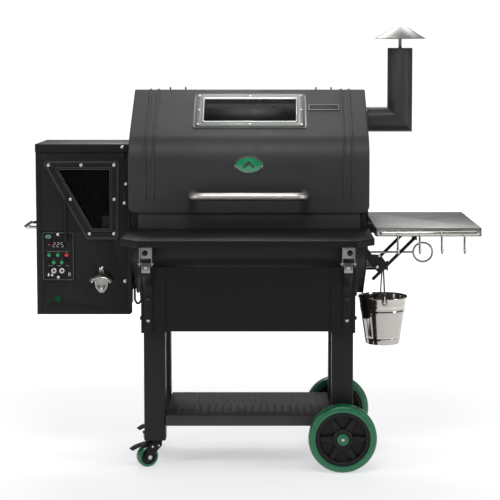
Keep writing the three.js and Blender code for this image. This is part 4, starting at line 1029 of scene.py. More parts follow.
# ---------------------------------------------------------------- chimney
def chimney():
    pipe_low, pipe_high = box("chimney_pipe")
    cap_low, cap_high = box("chimney_cap")
    elbow_x = pipe_high.x - FLUE_R
    start, top, wall = pipe_low.x, pipe_high.z, 1.5
    form = Form()
    turns = [2 * math.pi * i / 64 for i in range(64)]

    def loop(station, radius):
        """Circle at a station: on the flange, on the mitre, or at the top."""
        points = []
        for t in turns:
            across, along = radius * math.cos(t), radius * math.sin(t)
            if station == "flange":
                points.append(Vector((start, CHIMNEY_Y + across, CHIMNEY_Z - along)))
            elif station == "mitre":
                points.append(Vector((elbow_x + along, CHIMNEY_Y + across, CHIMNEY_Z - along)))
            else:
                points.append(Vector((elbow_x + along, CHIMNEY_Y + across, station)))
        return points

    outer, inner = FLUE_R, FLUE_R - wall
    form.rings([
        loop("flange", outer), loop("mitre", outer), loop(top - 1, outer), loop(top, outer - 0.5),
        loop(top, inner), loop("mitre", inner), loop("flange", inner),
    ])
    flange = [
        (FLUE_R - 1, 0), (FLUE_R + 4, 0), (FLUE_R + 4, 1.6), (FLUE_R + 3.4, 2), (FLUE_R - 1, 2),
        (FLUE_R - 1, 0),
    ]
    form.lathe(flange, "x", (start, CHIMNEY_Y, CHIMNEY_Z), 56)
    form.block((elbow_x - inner, elbow_x + inner), (CHIMNEY_Y - 6, CHIMNEY_Y + 6), (1238, 1240), 0.4)
    form.piece("flue_pipe", FLUE_SHEEN_COAT, "cart", "black_coat", "chimney_pipe")
    bead = loop("mitre", outer + 0.5)
    weld = Form().tube(bead + bead[:1], 0.8, sides=6)
    weld.piece("flue_mitre_weld", FLUE_SHEEN_COAT, "cart", "black_coat")
    spot = (start + 8, CHIMNEY_Y - 26, CHIMNEY_Z + 27.5)
    studs("flue_screw", BOLT_STEEL, "cart", "stainless", pan_head, [spot], (0, -0.7, 0.72), 4.2)

    rim, crown, foot, z0, z1 = cap_high.y - CHIMNEY_Y, 20, cap_low.z, 1281, cap_high.z
    profile = [
        (0, foot), (4.6, foot), (5, foot + 1), (5, z1 - 4), (18, z1 - 3.4), (rim - 3.4, z0 + 0.6),
        (rim - 1.4, z0),
        (rim - 0.4, z0 + 0.1), (rim, z0 + 1), (crown + 0.8, z1 - 0.4), (crown - 0.8, z1), (0, z1),
    ]
    Form().lathe(profile, "z", (elbow_x, CHIMNEY_Y, 0), 72).piece(
        "flue_cap", CAP_STEEL, "chimney_cap", "stainless", "chimney_cap"
    )


chimney()


# ---------------------------------------------------------------- cart
def shrink(corners, distance):
    """Closed anticlockwise outline of corners (a, b, radius) moved inwards by distance."""
    moved = []
    for i, corner in enumerate(corners):
        ux, uy = unit(corners[i - 1], corner)
        vx, vy = unit(corner, corners[(i + 1) % len(corners)])
        scale = distance / (1 + ux * vx + uy * vy)
        radius = max(0.3, corner[2] - distance)
        moved.append((corner[0] - (uy + vy) * scale, corner[1] + (ux + vx) * scale, radius))
    return moved


def pan(form, corners, bottom, top, sheet=2.0, soft=2.0):
    """Upside-down tray folded from one sheet, with eased top edges."""
    def loop(inset, z):
        return [Vector((a, b, z)) for a, b in rounded(shrink(corners, inset), step=15)]

    under = top - sheet
    return form.rings([
        loop(sheet, under), loop(sheet, bottom + 0.3), loop(sheet * 0.7, bottom), loop(0.4, bottom),
        loop(0, bottom + 0.5), loop(0, top - soft), loop(soft * 0.3, top - soft * 0.3), loop(soft, top),
    ], closed=False)


def box_corners(low, high, radius):
    return [
        (low[0], low[1], radius), (high[0], low[1], radius), (high[0], high[1], radius),
        (low[0], high[1], radius),
    ]


def legs():
    for name in ("leg_front_left", "leg_front_right", "leg_rear_left", "leg_rear_right"):
        low, high = box(name)
        outline = rounded(box_corners(low, high, 4), step=22)
        bore = rounded(box_corners((low.x + 2, low.y + 2), (high.x - 2, high.y - 2), 2.5), step=22)
        form = Form().prism(outline, (low.z, high.z), "z", [bore], bevel=0.5)
        form.block((low.x + 1, high.x - 1), (low.y + 1, high.y - 1), (low.z + 0.5, low.z + 4))
        form.piece(name + "_tube", LEG_SHEEN_COAT, "cart", "black_coat", name)
        middle_y, side = (low.y + high.y) / 2, math.copysign(1, low.x)
        outer_x = high.x if side > 0 else low.x
        spot = (outer_x, middle_y, low.z + 20)
        studs(name + "_bolt", BLACK_BOLT, "cart", "black_coat", hex_head, [spot], (side, 0, 0), 9, 6.5)


def cradle():
    keep("cradle", COAT, 0.9)
    low, high = box("cradle")
    bolts = Form()
    for side, x in ((-1, low.x), (1, high.x)):
        for y in (-150, 150):
            for z in (524, 452):
                hex_head(bolts, (x, y, z), (side, 0, 0), 10, 7)
    bolts.piece("cradle_bolts", BLACK_BOLT, "cart", "black_coat")


def bottom_shelf():
    low, high = box("bottom_shelf")
    plate_top = high.z - 1.5
    form = pan(Form(), box_corners(low, high, 4), low.z, plate_top)
    pitch, bead_half = 22.4, 4.6
    count = int((high.x - low.x - 30) / pitch)
    first = (low.x + high.x) / 2 - pitch * (count - 1) / 2
    for row, (y0, y1) in enumerate(((low.y + 16, -10), (10, high.y - 16))):
        for i in range(count - row):
            x = first + pitch * (i + row / 2)
            loops = []
            for inset, z in (
                (0, plate_top - 0.2), (0.3, plate_top + 0.5), (1.6, high.z - 0.25), (3.0, high.z),
            ):
                half = bead_half - inset
                bead = rectangle((x - half, y0 + inset), (x + half, y1 - inset), half - 0.2)
                loops.append([Vector((a, b, z)) for a, b in bead])
            form.rings(loops, closed=False)
    form.piece("ribbed_shelf", TRAY_SHEEN_COAT, "cart", "black_coat", "bottom_shelf")
    bolts = Form()
    for x in (low.x, high.x):
        for y in (-124, 124):
            dome_head(bolts, (x, y, low.z + 12), (math.copysign(1, x), 0, 0), 4.5, 2.5)
    bolts.piece("shelf_bolts", BLACK_BOLT, "cart", "black_coat")


legs()
cradle()
bottom_shelf()


# ---------------------------------------------------------------- large wheels
def big_wheel(end):
    low, high = box(f"tyre_{end}")
    centre = (low + high) / 2
    radius, half = (high.z - low.z) / 2, (high.y - low.y) / 2
    rim_r, web_r, boss_r = 80.5, 69, 30
    tread = [
        (rim_r + 0.2, -half + 2), (rim_r + 1.5, -half + 0.4), (rim_r + 4, -half), (radius - 12, -half),
        (radius - 6.5, -half + 1.6), (radius - 2.2, -half + 5.6), (radius - 0.3, -half + 11),
        (radius, -half + 15),
    ]
    rows = tread + [(r, -a) for r, a in reversed(tread)]
    Form().lathe(rows + rows[:1], "y", centre, 96).piece(
        f"tread_{end}", GREEN, f"wheel_{end}", "tyre_green", f"tyre_{end}"
    )
    lip = half - 3
    wheel = Form()
    ring = [
        (web_r, -lip + 1), (web_r + 1.2, -lip), (rim_r - 1, -lip), (rim_r, -lip + 1), (rim_r, lip - 1),
        (rim_r - 1, lip),
        (web_r + 1.2, lip), (web_r, lip - 1), (web_r - 1.5, 4), (web_r - 3, 2.5), (web_r - 3, -2.5),
        (web_r - 1.5, -4),
        (web_r, -lip + 1),
    ]
    wheel.lathe(ring, "y", centre, 96)
    wheel.lathe([(8, -2.5), (web_r, -2.5), (web_r, 2.5), (8, 2.5), (8, -2.5)], "y", centre, 72)
    boss = [
        (6.6, -lip), (boss_r - 3, -lip), (boss_r - 0.6, -lip + 1.6), (boss_r, -lip + 4), (boss_r, lip - 4),
        (boss_r - 0.6, lip - 1.6), (boss_r - 3, lip), (6.6, lip), (6.6, -lip),
    ]
    wheel.lathe(boss, "y", centre, 56)
    for spoke in range(6):
        wheel.at(Matrix.Translation(centre) @ Matrix.Rotation(math.radians(60 * spoke), 4, "Y"))
        outline = [(boss_r - 2, -9.5), (web_r + 1, -7), (web_r + 1, 7), (boss_r - 2, 9.5)]
        wheel.prism(outline, (-lip + 5, lip - 5), "y", bevel=1.6)
    wheel.at(Matrix.Identity(4))
    wheel.piece(f"spoked_rim_{end}", PLASTIC, f"wheel_{end}", "black_plastic", f"rim_{end}")
    cap = Form()
    for face in (-1, 1):
        outline = [(6.8, 0), (17.5, 0), (17.5, 3), (16.6, 4.6), (14, 5.4), (7.6, 5.4), (6.8, 4.6), (6.8, 0)]
        cap.lathe([(r, face * (lip + a)) for r, a in outline], "y", centre, 48)
    cap.piece(f"hub_cap_{end}", GREEN, f"wheel_{end}", "tyre_green")


def axle():
    low, high = box("wheel_axle")
    x, z = (low.x + high.x) / 2, (low.z + high.z) / 2
    form = Form().lathe(
        [(0, low.y), (4.6, low.y), (6, low.y + 1.4), (6, high.y - 1.4), (4.6, high.y), (0, high.y)], "y",
        (x, 0, z), 32
    )
    form.piece("axle_rod", CHROME, "cart", "stainless", "wheel_axle")


def caster(end):
    low, high = box(f"caster_wheel_{end}")
    centre = (low + high) / 2
    radius, half, trail, angle = 31.75, 14, 26, math.radians(207)
    heading = Matrix.Rotation(angle, 4, "Z")
    swivel = Matrix.Translation(centre - heading @ Vector((trail, 0, radius))) @ heading
    wheel_body, fork_body = f"caster_wheel_{end}", f"caster_fork_{end}"
    tread = [
        (23.4, -half + 1), (25, -half), (radius - 4, -half), (radius - 1.2, -half + 2.4), (radius, -half + 6),
        (radius, half - 6), (radius - 1.2, half - 2.4), (radius - 4, half), (25, half), (23.4, half - 1),
        (23.4, -half + 1),
    ]
    hub = [
        (4.6, -half), (10, -half), (11, -half + 1), (12, -half + 4), (22, -half + 4), (23.3, -half + 1.5),
        (23.3, half - 1.5),
        (22, half - 4), (12, half - 4), (11, half - 1), (10, half), (4.6, half), (4.6, -half),
    ]
    at = (trail, 0, radius)
    form = Form().at(swivel).lathe(tread, "y", at, 56)
    form.piece(f"caster_tread_{end}", GREEN, wheel_body, "tyre_green", wheel_body)
    Form().at(swivel).lathe(hub, "y", at, 40).piece(f"caster_hub_{end}", PLASTIC, wheel_body, "black_plastic")

    fork = Form().at(swivel)
    for y in (-half - 5, half + 2):
        outline = [
            (-14, 62, 4), (-15, 71, 3), (27, 71, 4), (38, 42, 10), (36, 22, 7), (17, 22, 7), (8, 42, 14),
        ]
        fork.prism(rounded(outline, step=15), (y, y + 3), "y", bevel=0.9)
    fork.block((-15, 27), (-half - 4, half + 4), (68.5, 72.5), 1.2)
    fork.lathe(
        [
            (0, 72), (21, 72), (22, 73), (22, 75), (20.5, 76.4), (18, 77), (18, 79.4), (22, 79.8),
            (22, 80.6), (0, 80.6),
        ],
        "z", (0, 0, 0), 44,
    )
    fork.piece(f"caster_yoke_{end}", PLASTIC, fork_body, "black_plastic", fork_body)
    bolts = Form().at(swivel)
    bolts.lathe(
        [
            (0, -half - 10), (5.5, -half - 10), (6.5, -half - 9), (6.5, -half - 5), (4, -half - 5),
            (4, half + 5), (6.5, half + 5), (6.5, half + 9), (5.5, half + 10), (0, half + 10),
        ],
        "y", at, 28,
    )
    for x, z in ((-4, 64), (16, 62)):
        for side in (-1, 1):
            y0 = side * (half + 5)
            dome = [
                (0, y0 + side * 1.8), (2.2, y0 + side * 1.5), (3.4, y0 + side * 0.4), (3.4, y0 - side * 1),
            ]
            bolts.lathe(dome + [(0, y0 - side * 1)], "y", (x, 0, z), 20)
    bolts.piece(f"caster_bolts_{end}", BOLT_STEEL, fork_body, "stainless")
    pedal = rounded([
        (27.6, 69.5, 0.6), (31, 74, 2), (64, 66, 12), (79, 58, 2), (78, 55, 1), (62, 61.5, 8), (44, 66, 4),
        (28.4, 67, 0.6),
    ], step=15)
    form = Form().at(swivel).prism(pedal, (-13, 13), "y", bevel=0.9)
    for k in range(4):
        x = 50 + 6 * k
        form.block((x, x + 2), (-9, 9), (69.6 - 2.4 * k, 72.0 - 2.4 * k), 0.4)
    form.piece(f"caster_pedal_{end}", PLASTIC, f"caster_brake_{end}", "black_plastic", f"caster_brake_{end}")


for end_name in ("front", "rear"):
    big_wheel(end_name)
    caster(end_name)
axle()


# ---------------------------------------------------------------- front shelf and its brackets
SHELF_PIVOT_Y, SHELF_PIVOT_Z = -258, 630


def front_shelf():
    low, high = box("front_shelf")
    cut_x, cut_y = 48, 53
    corners = [
        (low.x, low.y + cut_y, 8), (low.x + cut_x, low.y, 8), (high.x - cut_x, low.y, 8),
        (high.x, low.y + cut_y, 8),
        (high.x, high.y, 3), (low.x, high.y, 3),
    ]
    form = pan(Form(), corners, low.z, high.z, soft=2.2)
    form.piece("front_shelf_sheet", SHELF_TOP_SHADE_COAT, "front_shelf", "black_coat", "front_shelf")


def shelf_bracket(side):
    keep(f"shelf_channel_{side}", STAINLESS_UP, 0.6)
    low, high = box(f"shelf_channel_{side}")
    x = (low.x + high.x) / 2
    knob = Form()
    knob.at(towards(FRONTWARD, (x + 1.5, high.y - 50, 667)))
    grip = [(0, 0), (4, 0), (4, 8), (7.6, 9), (8.2, 11), (8.2, 17), (7.2, 19), (4, 20), (0, 20)]
    knob.lathe(grip, "z", (0, 0, 0), 32).piece(f"shelf_knob_{side}", PLASTIC, "front_shelf", "black_plastic")
    under = box("front_shelf")[1].z - 4.4
    spots = [(x, y, under) for y in (-262, -290)]
    studs(
        f"shelf_channel_rivets_{side}", BOLT_STEEL, "front_shelf", "stainless", dome_head, spots,
        (0, 0, -1), 3.6, 2,
    )

    arm_low, arm_high = box(f"shelf_arm_{side}")
    half = 12.5
    front, back = arm_low.y, arm_high.y - 4
    run = [(front, 636), (front, 596, 40), (back, 548, 40), (back, arm_low.z)]
    arm = Form().prism(bent_sheet(run, 4), (x - half, x + half), "x", bevel=0.8)
    pivot = (x, SHELF_PIVOT_Y, SHELF_PIVOT_Z)
    arm.lathe([(0, -half), (6, -half), (6, half), (0, half)], "x", pivot, 32)
    arm.piece(f"shelf_arm_bar_{side}", COAT, "cart", "black_coat", f"shelf_arm_{side}")
    pin = Form().lathe(
        [
            (0, -22), (4.4, -22), (5, -21.4), (5, -19), (3, -19), (3, 19), (5, 19), (5, 21.4), (4.4, 22),
            (0, 22),
        ],
        "x", pivot, 24
    )
    pin.piece(f"shelf_pin_{side}", BOLT_STEEL, "cart", "stainless")
    plate = Form().prism(rectangle((x - half, 603), (x + half, 634), 2.5), (front - 2, front), "y", bevel=0.6)
    plate.piece(f"shelf_hinge_plate_{side}", STAINLESS_UP, "cart", "stainless")
    bright, black = Form(), Form()
    dome_head(bright, (x, front - 2, 619), FRONTWARD, 5, 3)
    dome_head(bright, (x, back, 451), FRONTWARD, 5.5, 3.5)
    dome_head(black, (x, back, 516), FRONTWARD, 6.5, 5)
    bright.piece(f"shelf_arm_bolts_{side}", BOLT_STEEL, "cart", "stainless")
    black.piece(f"shelf_arm_stop_{side}", BLACK_BOLT, "cart", "black_plastic")


front_shelf()
shelf_bracket("left")
shelf_bracket("right")


# ---------------------------------------------------------------- side shelf
def side_shelf():
    top_z, lip, half_depth, left, right = 730, 25, 228, 371, 680
    form = pan(Form(), box_corners((left, -half_depth), (right, half_depth), 5), top_z - lip, top_z, soft=2.4)
    for y in SIDE_LUG_Y:
        form.block((SIDE_PIVOT_X, left + 1), (y - 9, y + 9), (SIDE_PIVOT_Z - 5, SIDE_PIVOT_Z + 5), 0.6)
        form.lathe(
            [(3.6, -9), (5, -9), (5, 9), (3.6, 9), (3.6, -9)], "y", (SIDE_PIVOT_X, y, SIDE_PIVOT_Z), 28,
        )
    for y in STAY_Y:
        form.block((480, 496), (y + 8, y + 11), (689, top_z - 1), 0.6)
    form.piece("side_shelf_sheet", SHELF_STEEL, "side_shelf", "stainless", "side_shelf")
    trim = Form().prism(
        rectangle((left + 5, top_z - lip + 2), (right - 5, top_z - 4), 8),
        (-half_depth - 0.9, -half_depth + 0.2), "y", bevel=0.4,
    )
    trim.piece("side_shelf_trim", WINDOW_LIP, "side_shelf", "stainless")

    low, high = box("side_rail")
    rail_y, rail_z, wire = -half_depth - 9, 715, 6
    rail = Form().tube(
        [
            (388, rail_y + 9.5, rail_z), (388, rail_y, rail_z), (668, rail_y, rail_z),
            (668, rail_y + 9.5, rail_z),
        ],
        wire, bend=16, sides=20,
    )
    for x in (435, 499, 563, 629):
        curl = [
            (x, rail_y, rail_z), (x, rail_y, low.z + 16), (x, rail_y - 2, low.z + 8),
            (x, rail_y - 7, low.z + 3),
            (x, rail_y - 13, low.z + 2.5), (x, rail_y - 18.5, low.z + 7), (x, rail_y - 21, low.z + 15),
        ]
        rail.tube(curl, 3.4, bend=6, sides=14, dome=2)
        rail.lathe([(6, -4), (7.6, -3.4), (7.6, 3.4), (6, 4), (6, -4)], "x", (x, rail_y, rail_z), 24)
    rail.piece("rail_and_hooks", CHROME, "side_shelf", "stainless", "side_rail")

    top, foot = (488, 697), (366, 575)
    stays = Form()
    for y in STAY_Y:
        stays.tube([(top[0] + 3, y, top[1] + 3), (foot[0], y, foot[1])], 5, sides=20, dome=2)
    stays.tube([(top[0], STAY_Y[0], top[1]), (top[0], STAY_Y[1] + 16, top[1])], 3, sides=14, dome=1)
    stays.piece("strut_bars", COAT, "side_strut", "black_coat", "side_strut")
    keep("strut_bracket", COAT, 0.7)
    plate_y = box("strut_bracket")[0].y
    spots = [(384, plate_y, 646), (378, plate_y, 612)]
    studs("strut_bracket_bolts", BOLT_STEEL, "cart", "stainless", dome_head, spots, FRONTWARD, 4.5, 2.8)


def shield_rod():
    ring_x, ring_r = 524, 28.7
    form = Form().block((-75, 125), (-90, 78), (637, 641), 0.8)
    form.block((110, 122), (SHIELD_Y - 6, SHIELD_Y + 6), (634, 646), 0.8)
    form.tube([(116, SHIELD_Y, SHIELD_Z), (ring_x - ring_r + 2, SHIELD_Y, SHIELD_Z)], SHIELD_R, sides=16)
    wire = circle((ring_r, 0), SHIELD_R, 16)
    form.lathe(wire + wire[:1], "y", (ring_x, SHIELD_Y, SHIELD_Z), 56)
    form.piece("shield_rod_and_plate", STAINLESS_DARK, "heat_shield", "stainless", "heat_shield")


# ---------------------------------------------------------------- grease bucket
def grease_bucket():
    low, high = box("bucket")
    x, rim_z, base_z = (low.x + high.x) / 2, high.z, low.z
    base_r, side_r = 52, 73.2

    def outer_r(z):
        return base_r + (side_r - base_r) * (z - base_z) / (rim_z - 5 - base_z)

    profile = [
        (0, base_z + 3), (base_r - 6, base_z + 3), (base_r - 4, base_z), (base_r - 1, base_z),
        (base_r, base_z + 1.2),
    ]
    heights = [base_z + 6 + 4 * k for k in range(int((rim_z - 12 - base_z) / 4))]
    beads = (base_z + 18, rim_z - 44, rim_z - 34)
    for z in heights:
        bump = sum(max(0.0, 1 - ((z - bead) / 4.2) ** 2) * 1.3 for bead in beads)
        profile.append((outer_r(z) + bump, z))
    roll_r, roll_c = 2.3, (side_r + 0.6, rim_z - 2.3)
    for a in range(-120, 181, 30):
        t = math.radians(a)
        profile.append((roll_c[0] + roll_r * math.cos(t), roll_c[1] + roll_r * math.sin(t)))
    profile += [(outer_r(z) - 1.3, z) for z in (rim_z - 8, base_z + 6)]
    profile += [(base_r - 4, base_z + 4.5), (0, base_z + 4.5)]
    pail = Form().lathe(profile, "z", (x, 0, 0), 96)
    pail.piece("bucket_shell", CHROME, "bucket", "polished_steel", "bucket")
    ears, ear_z = Form(), 486
    for side in (-1, 1):
        tab = rounded(
            [(x - 8, ear_z - 16, 4), (x + 8, ear_z - 16, 4), (x + 8, ear_z + 8, 8), (x - 8, ear_z + 8, 8)],
            step=15,
        )
        ears.prism(tab, sorted((side * 74.4, side * 76.4)), "y", bevel=0.4)
        pin = [(0, 70), (2.5, 70), (2.5, 83.4), (4, 83.4), (4, 84), (0, 84)]
        ears.lathe([(r, side * a) for r, a in pin], "y", (x, 0, ear_z), 20)
        dome_head(ears, (x, side * 76.2, ear_z - 11), (0, side, 0), 2.6, 1.2)
    ears.piece("bucket_ears", BOLT_STEEL, "bucket", "polished_steel")
    washers = Form()
    for side in (-1, 1):
        ring = [(3, 76.4), (8.4, 76.4), (9.2, 77), (9.2, 78), (8.2, 78.6), (3, 78.6), (3, 76.4)]
        washers.lathe([(r, side * a) for r, a in ring], "y", (x, 0, ear_z), 36)
    washers.piece("bucket_eyelets", DARK_STEEL, "bucket", "polished_steel")

    half, hook, knee_z = 80, SPOUT_R + 3.1, rim_z + 8
    rise = SPOUT_Z - knee_z
    start = math.acos(hook / math.hypot(half, rise)) - math.atan2(rise, half)
    turns = [start + (math.pi - 2 * start) * i / 16 for i in range(17)]
    path = [(x, -half, ear_z + 4), (x, -half, knee_z)]
    path += [(x, -hook * math.cos(t), SPOUT_Z + hook * math.sin(t)) for t in turns]
    path += [(x, half, knee_z), (x, half, ear_z + 4)]
    bail = Form().tube(path, 2.5, sides=16)
    for side in (-1, 1):
        wire = circle((4.6, 0), 1.5, 12)
        bail.lathe(wire + wire[:1], "y", (x, side * half, ear_z), 28)
    bail.piece("bail_wire", CHROME, "bucket_bail", "stainless", "bucket_bail")


def drain_spout():
    low, high = box("drain_spout")
    r = SPOUT_R
    profile = [
        (r - 1.5, low.x + 3), (r, low.x + 3), (r, high.x - 4), (r + 3.2, high.x - 2.2), (r + 4, high.x - 1),
        (r + 3.4, high.x),
        (r + 1, high.x - 0.6), (r - 1.5, high.x - 3), (r - 1.5, low.x + 3),
    ]
    Form().lathe(profile, "x", (0, 0, SPOUT_Z), 40).piece(
        "spout_tube", DARK_STEEL, "cart", "stainless", "drain_spout",
    )


side_shelf()
shield_rod()
grease_bucket()
drain_spout()


# ---------------------------------------------------------------- hopper
HOPPER_LOW = Vector((-632.5, -115, 457))
HOPPER_HIGH = Vector((-348, 115, 943))
WALL, FRONT = 2.0, -115.0
WINDOW = [(-612, 917), (-385, 917), (-389, 684), (-481, 684)]
OPENING = [(-564, 891), (-413, 891), (-413, 716), (-465, 716)]
PANEL_LOW, PANEL_HIGH = (-616, 559), (-520, 706)
POWER = (-571, 505)
OPENER_X = -439


def hopper_shell():
    low, high = HOPPER_LOW, HOPPER_HIGH
    corner, step_x, step_z = 10, -366, 526
    form = Form()
    front = rounded(
        [(low.x, low.z, 0.4), (high.x, low.z, corner), (high.x, high.z, 0.4), (low.x, high.z, 0.4)],
        step=10,
    )
    holes = [
        rectangle((PANEL_LOW[0] + 8, PANEL_LOW[1] + 8), (PANEL_HIGH[0] - 8, PANEL_HIGH[1] - 8), 2),
        circle(POWER, 10.5, 40),
        list(reversed(rounded([(x, z, 3) for x, z in OPENING], step=15))),
    ]
    form.prism(front, (FRONT, FRONT + WALL), "y", holes, bevel=0.5)
    rear_opening = rectangle((-605, 570), (-505, 675), 4)
    rear = [
        (low.x, low.z), (step_x, low.z), (step_x, step_z), (high.x, step_z), (high.x, high.z),
        (low.x, high.z),
    ]
    form.prism(rear, (-FRONT - WALL, -FRONT), "y", [rear_opening], bevel=0.5)
    folded = [
        (low.x, high.z), (low.x, low.z, 2.5), (step_x, low.z, 2.5), (step_x, step_z, 2),
        (high.x, step_z, 2), (high.x, 530),
    ]
    form.prism(bent_sheet(folded, WALL), (FRONT + 0.6, -FRONT - 0.6), "y")
    bore = circle((0, AUGER_Z), AUGER_TUBE_R + 0.4, 48)
    side = rectangle((FRONT + 0.6, 530), (-FRONT - 0.6, high.z), 0)
    form.prism(side, (high.x - WALL, high.x), "x", [bore])
    floor_z = AUGER_Z + 28
    # The chute is darkened to near black: painted shade for the inside of the bin.
    chute = [(low.x + 1, 905), (-470, floor_z + 45, 6), (-470, floor_z, 3), (high.x - 114, floor_z)]
    Form().prism(bent_sheet(chute, WALL), (FRONT + 1, -FRONT - 1), "y").piece(
        "pellet_chute", CHUTE_SHADE_COAT, "cart", "black_coat",
    )
    tab = Form().block((-437, -404), (-108, -106), (708, 752), 0.6).block(
        (-437, -404), (-106, -96), (750, 752), 0.6,
    )
    tab.piece("chute_tab", TAB_GREY, "cart", "galvanised")
    throat = rectangle((high.x - 113.5, -20), (high.x - 14, 20), 3)
    ledge = rectangle((high.x - 115, FRONT + 1), (high.x - 1, -FRONT - 1), 0)
    form.prism(ledge, (floor_z - WALL, floor_z), "z", [throat])
    form.lathe(
        [(0, low.x + 1), (3, low.x + 1), (3, low.x + 35), (2.4, low.x + 36), (0, low.x + 36)], "x",
        (0, 70, 500), 24,
    )
    for x in (-570, -410):
        lug = rounded(
            [(114, 923, 1), (127, 937, 2), (127, 947, 3), (119, 947, 3), (119, 941, 1), (114, 941, 1)],
            step=15,
        )
        for inner in (-20, 16):
            form.prism(lug, (x + inner, x + inner + 4), "x", bevel=0.5)
        form.lathe(
            [(0, -20.8), (2.2, -20.8), (2.5, -20.4), (2.5, 20.4), (2.2, 20.8), (0, 20.8)], "x",
            (x, 123, high.z), 20,
        )
    inlet = rectangle((-470, 490), (-422, 522), 3)
    form.prism(inlet, (114, 120), "y", [rectangle((-466, 494), (-426, 518), 2)], bevel=0.8)
    form.piece("hopper_walls", COAT, "cart", "black_coat", "hopper_body")

    trims = Form()
    trims.block((low.x, low.x + 16), (FRONT - 1.2, FRONT), (low.z + 1, high.z - 1), 0.5)
    trims.block((high.x - 12, high.x - 1), (FRONT - 0.8, FRONT), (low.z + 16, high.z - 1), 0.4)
    trims.piece("hopper_seams", COAT, "cart", "black_coat")
    spots = [(-364, FRONT, 849), (-369, FRONT, 792), (-369, FRONT, 557.5)]
    studs("hopper_edge_screws", BOLT_STEEL, "cart", "stainless", pan_head, spots, FRONTWARD, 5)
    slots = Form()
    slots.prism(rectangle((-371.5, 800), (-366.5, 822), 2.4), (FRONT - 0.4, FRONT + 0.5), "y")
    slots.piece("hopper_slot", VOID_BLACK, "cart", "black_coat")


def hopper_cover():
    low, high = HOPPER_LOW, HOPPER_HIGH
    top, foot = 968, high.z + 0.4
    corners = box_corners((low.x - 1.5, FRONT - 3), (high.x, -FRONT + 1), 3)
    form = pan(Form(), corners, foot, top, soft=2.0)
    for x in (-570, -410):
        form.lathe([(3.1, -14), (5, -14), (5, 14), (3.1, 14), (3.1, -14)], "x", (x, 123, high.z), 28)
        form.block((x - 14, x + 14), (115, 124.8), (high.z + 2, high.z + 12), 0.8)
    form.piece("hopper_cover", COAT, "hopper_lid", "black_coat", "hopper_lid")
    spot = (-374, FRONT - 3, 959.5)
    studs("hopper_cover_screw", BOLT_STEEL, "hopper_lid", "stainless", pan_head, [spot], FRONTWARD, 5.2)
    knob = Form().at(towards(FRONTWARD, (-374, FRONT - 0.5, 934)))
    knob.lathe([(0, 0), (8, 0), (8.6, 0.8), (8.6, 3.6), (7.4, 4.6), (0, 5)], "z", (0, 0, 0), 36)
    knob.piece("hopper_catch", PLASTIC, "cart", "black_plastic")


def between_polygons(outer, inner, share, radius):
    """Polygon a share of the way from outer to inner, with rounded corners."""
    corners = []
    for (ax, az), (bx, bz) in zip(outer, inner):
        corners.append((ax + (bx - ax) * share, az + (bz - az) * share, radius))
    return rounded(corners, step=12)


def hopper_window():
    form = Form()
    back, face = FRONT - 0.4, FRONT - 3.2
    steps = [
        (1.0, back, 3), (1.0, face - 0.6, 3), (0.96, face - 1.2, 3.4), (0.88, face - 1.2, 4),
        (0.84, face, 4.6),
        (0.76, face, 5), (0.72, face + 1.6, 5.4), (0.66, face + 1.6, 6), (0.62, face, 6.4), (0.16, face, 8),
        (0.12, face - 1.4, 8.4),
        (0.04, face - 1.4, 8.8), (0.0, face - 0.4, 9), (0.0, back, 9),
    ]
    loops = []
    for share, y, radius in steps:
        loops.append(
            [Vector((x, y, z)) for x, z in reversed(between_polygons(WINDOW, OPENING, share, radius))]
        )
    form.rings(loops, closed=True)
    form.piece("hopper_window_surround", COAT, "cart", "black_coat", "hopper_window_frame")
    # Thin pale beads along the surround's folds: painted highlight.
    beads = Form()
    for share, y, radius in (
        (0.01, face - 0.6, 9), (0.14, face - 1.3, 8), (0.74, face + 0.4, 5), (0.94, face - 1.2, 3.6),
    ):
        line = [Vector((x, y, z)) for x, z in between_polygons(WINDOW, OPENING, share, radius)]
        beads.tube(line + line[:1], 0.8, sides=6)
    beads.piece("hopper_window_beads", BEAD_HIGHLIGHT_COAT, "cart", "black_coat")
    screws = ((-594, 905), (-497, 905), (-399, 905), (-399, 803), (-530, 803), (-474, 700), (-401, 700))
    spots = [(x, face, z) for x, z in screws]
    studs("hopper_window_screws", BOLT_STEEL, "cart", "stainless", pan_head, spots, FRONTWARD, 4.8)
    keep("hopper_glass", BIN_GLASS, 0.3)


# ---------------------------------------------------------------- controller
SEGMENTS = {
    "top": (0, 1, 0), "upper_left": (-0.5, 0.5, 1), "upper_right": (0.5, 0.5, 1), "middle": (0, 0, 0),
    "lower_left": (-0.5, -0.5, 1), "lower_right": (0.5, -0.5, 1), "bottom": (0, -1, 0),
}
DIGIT_BARS = {
    "2": ("top", "upper_right", "middle", "lower_left", "bottom"),
    "5": ("top", "upper_left", "middle", "lower_right", "bottom"),
    "0": ("top", "upper_left", "upper_right", "lower_left", "lower_right", "bottom"),
}


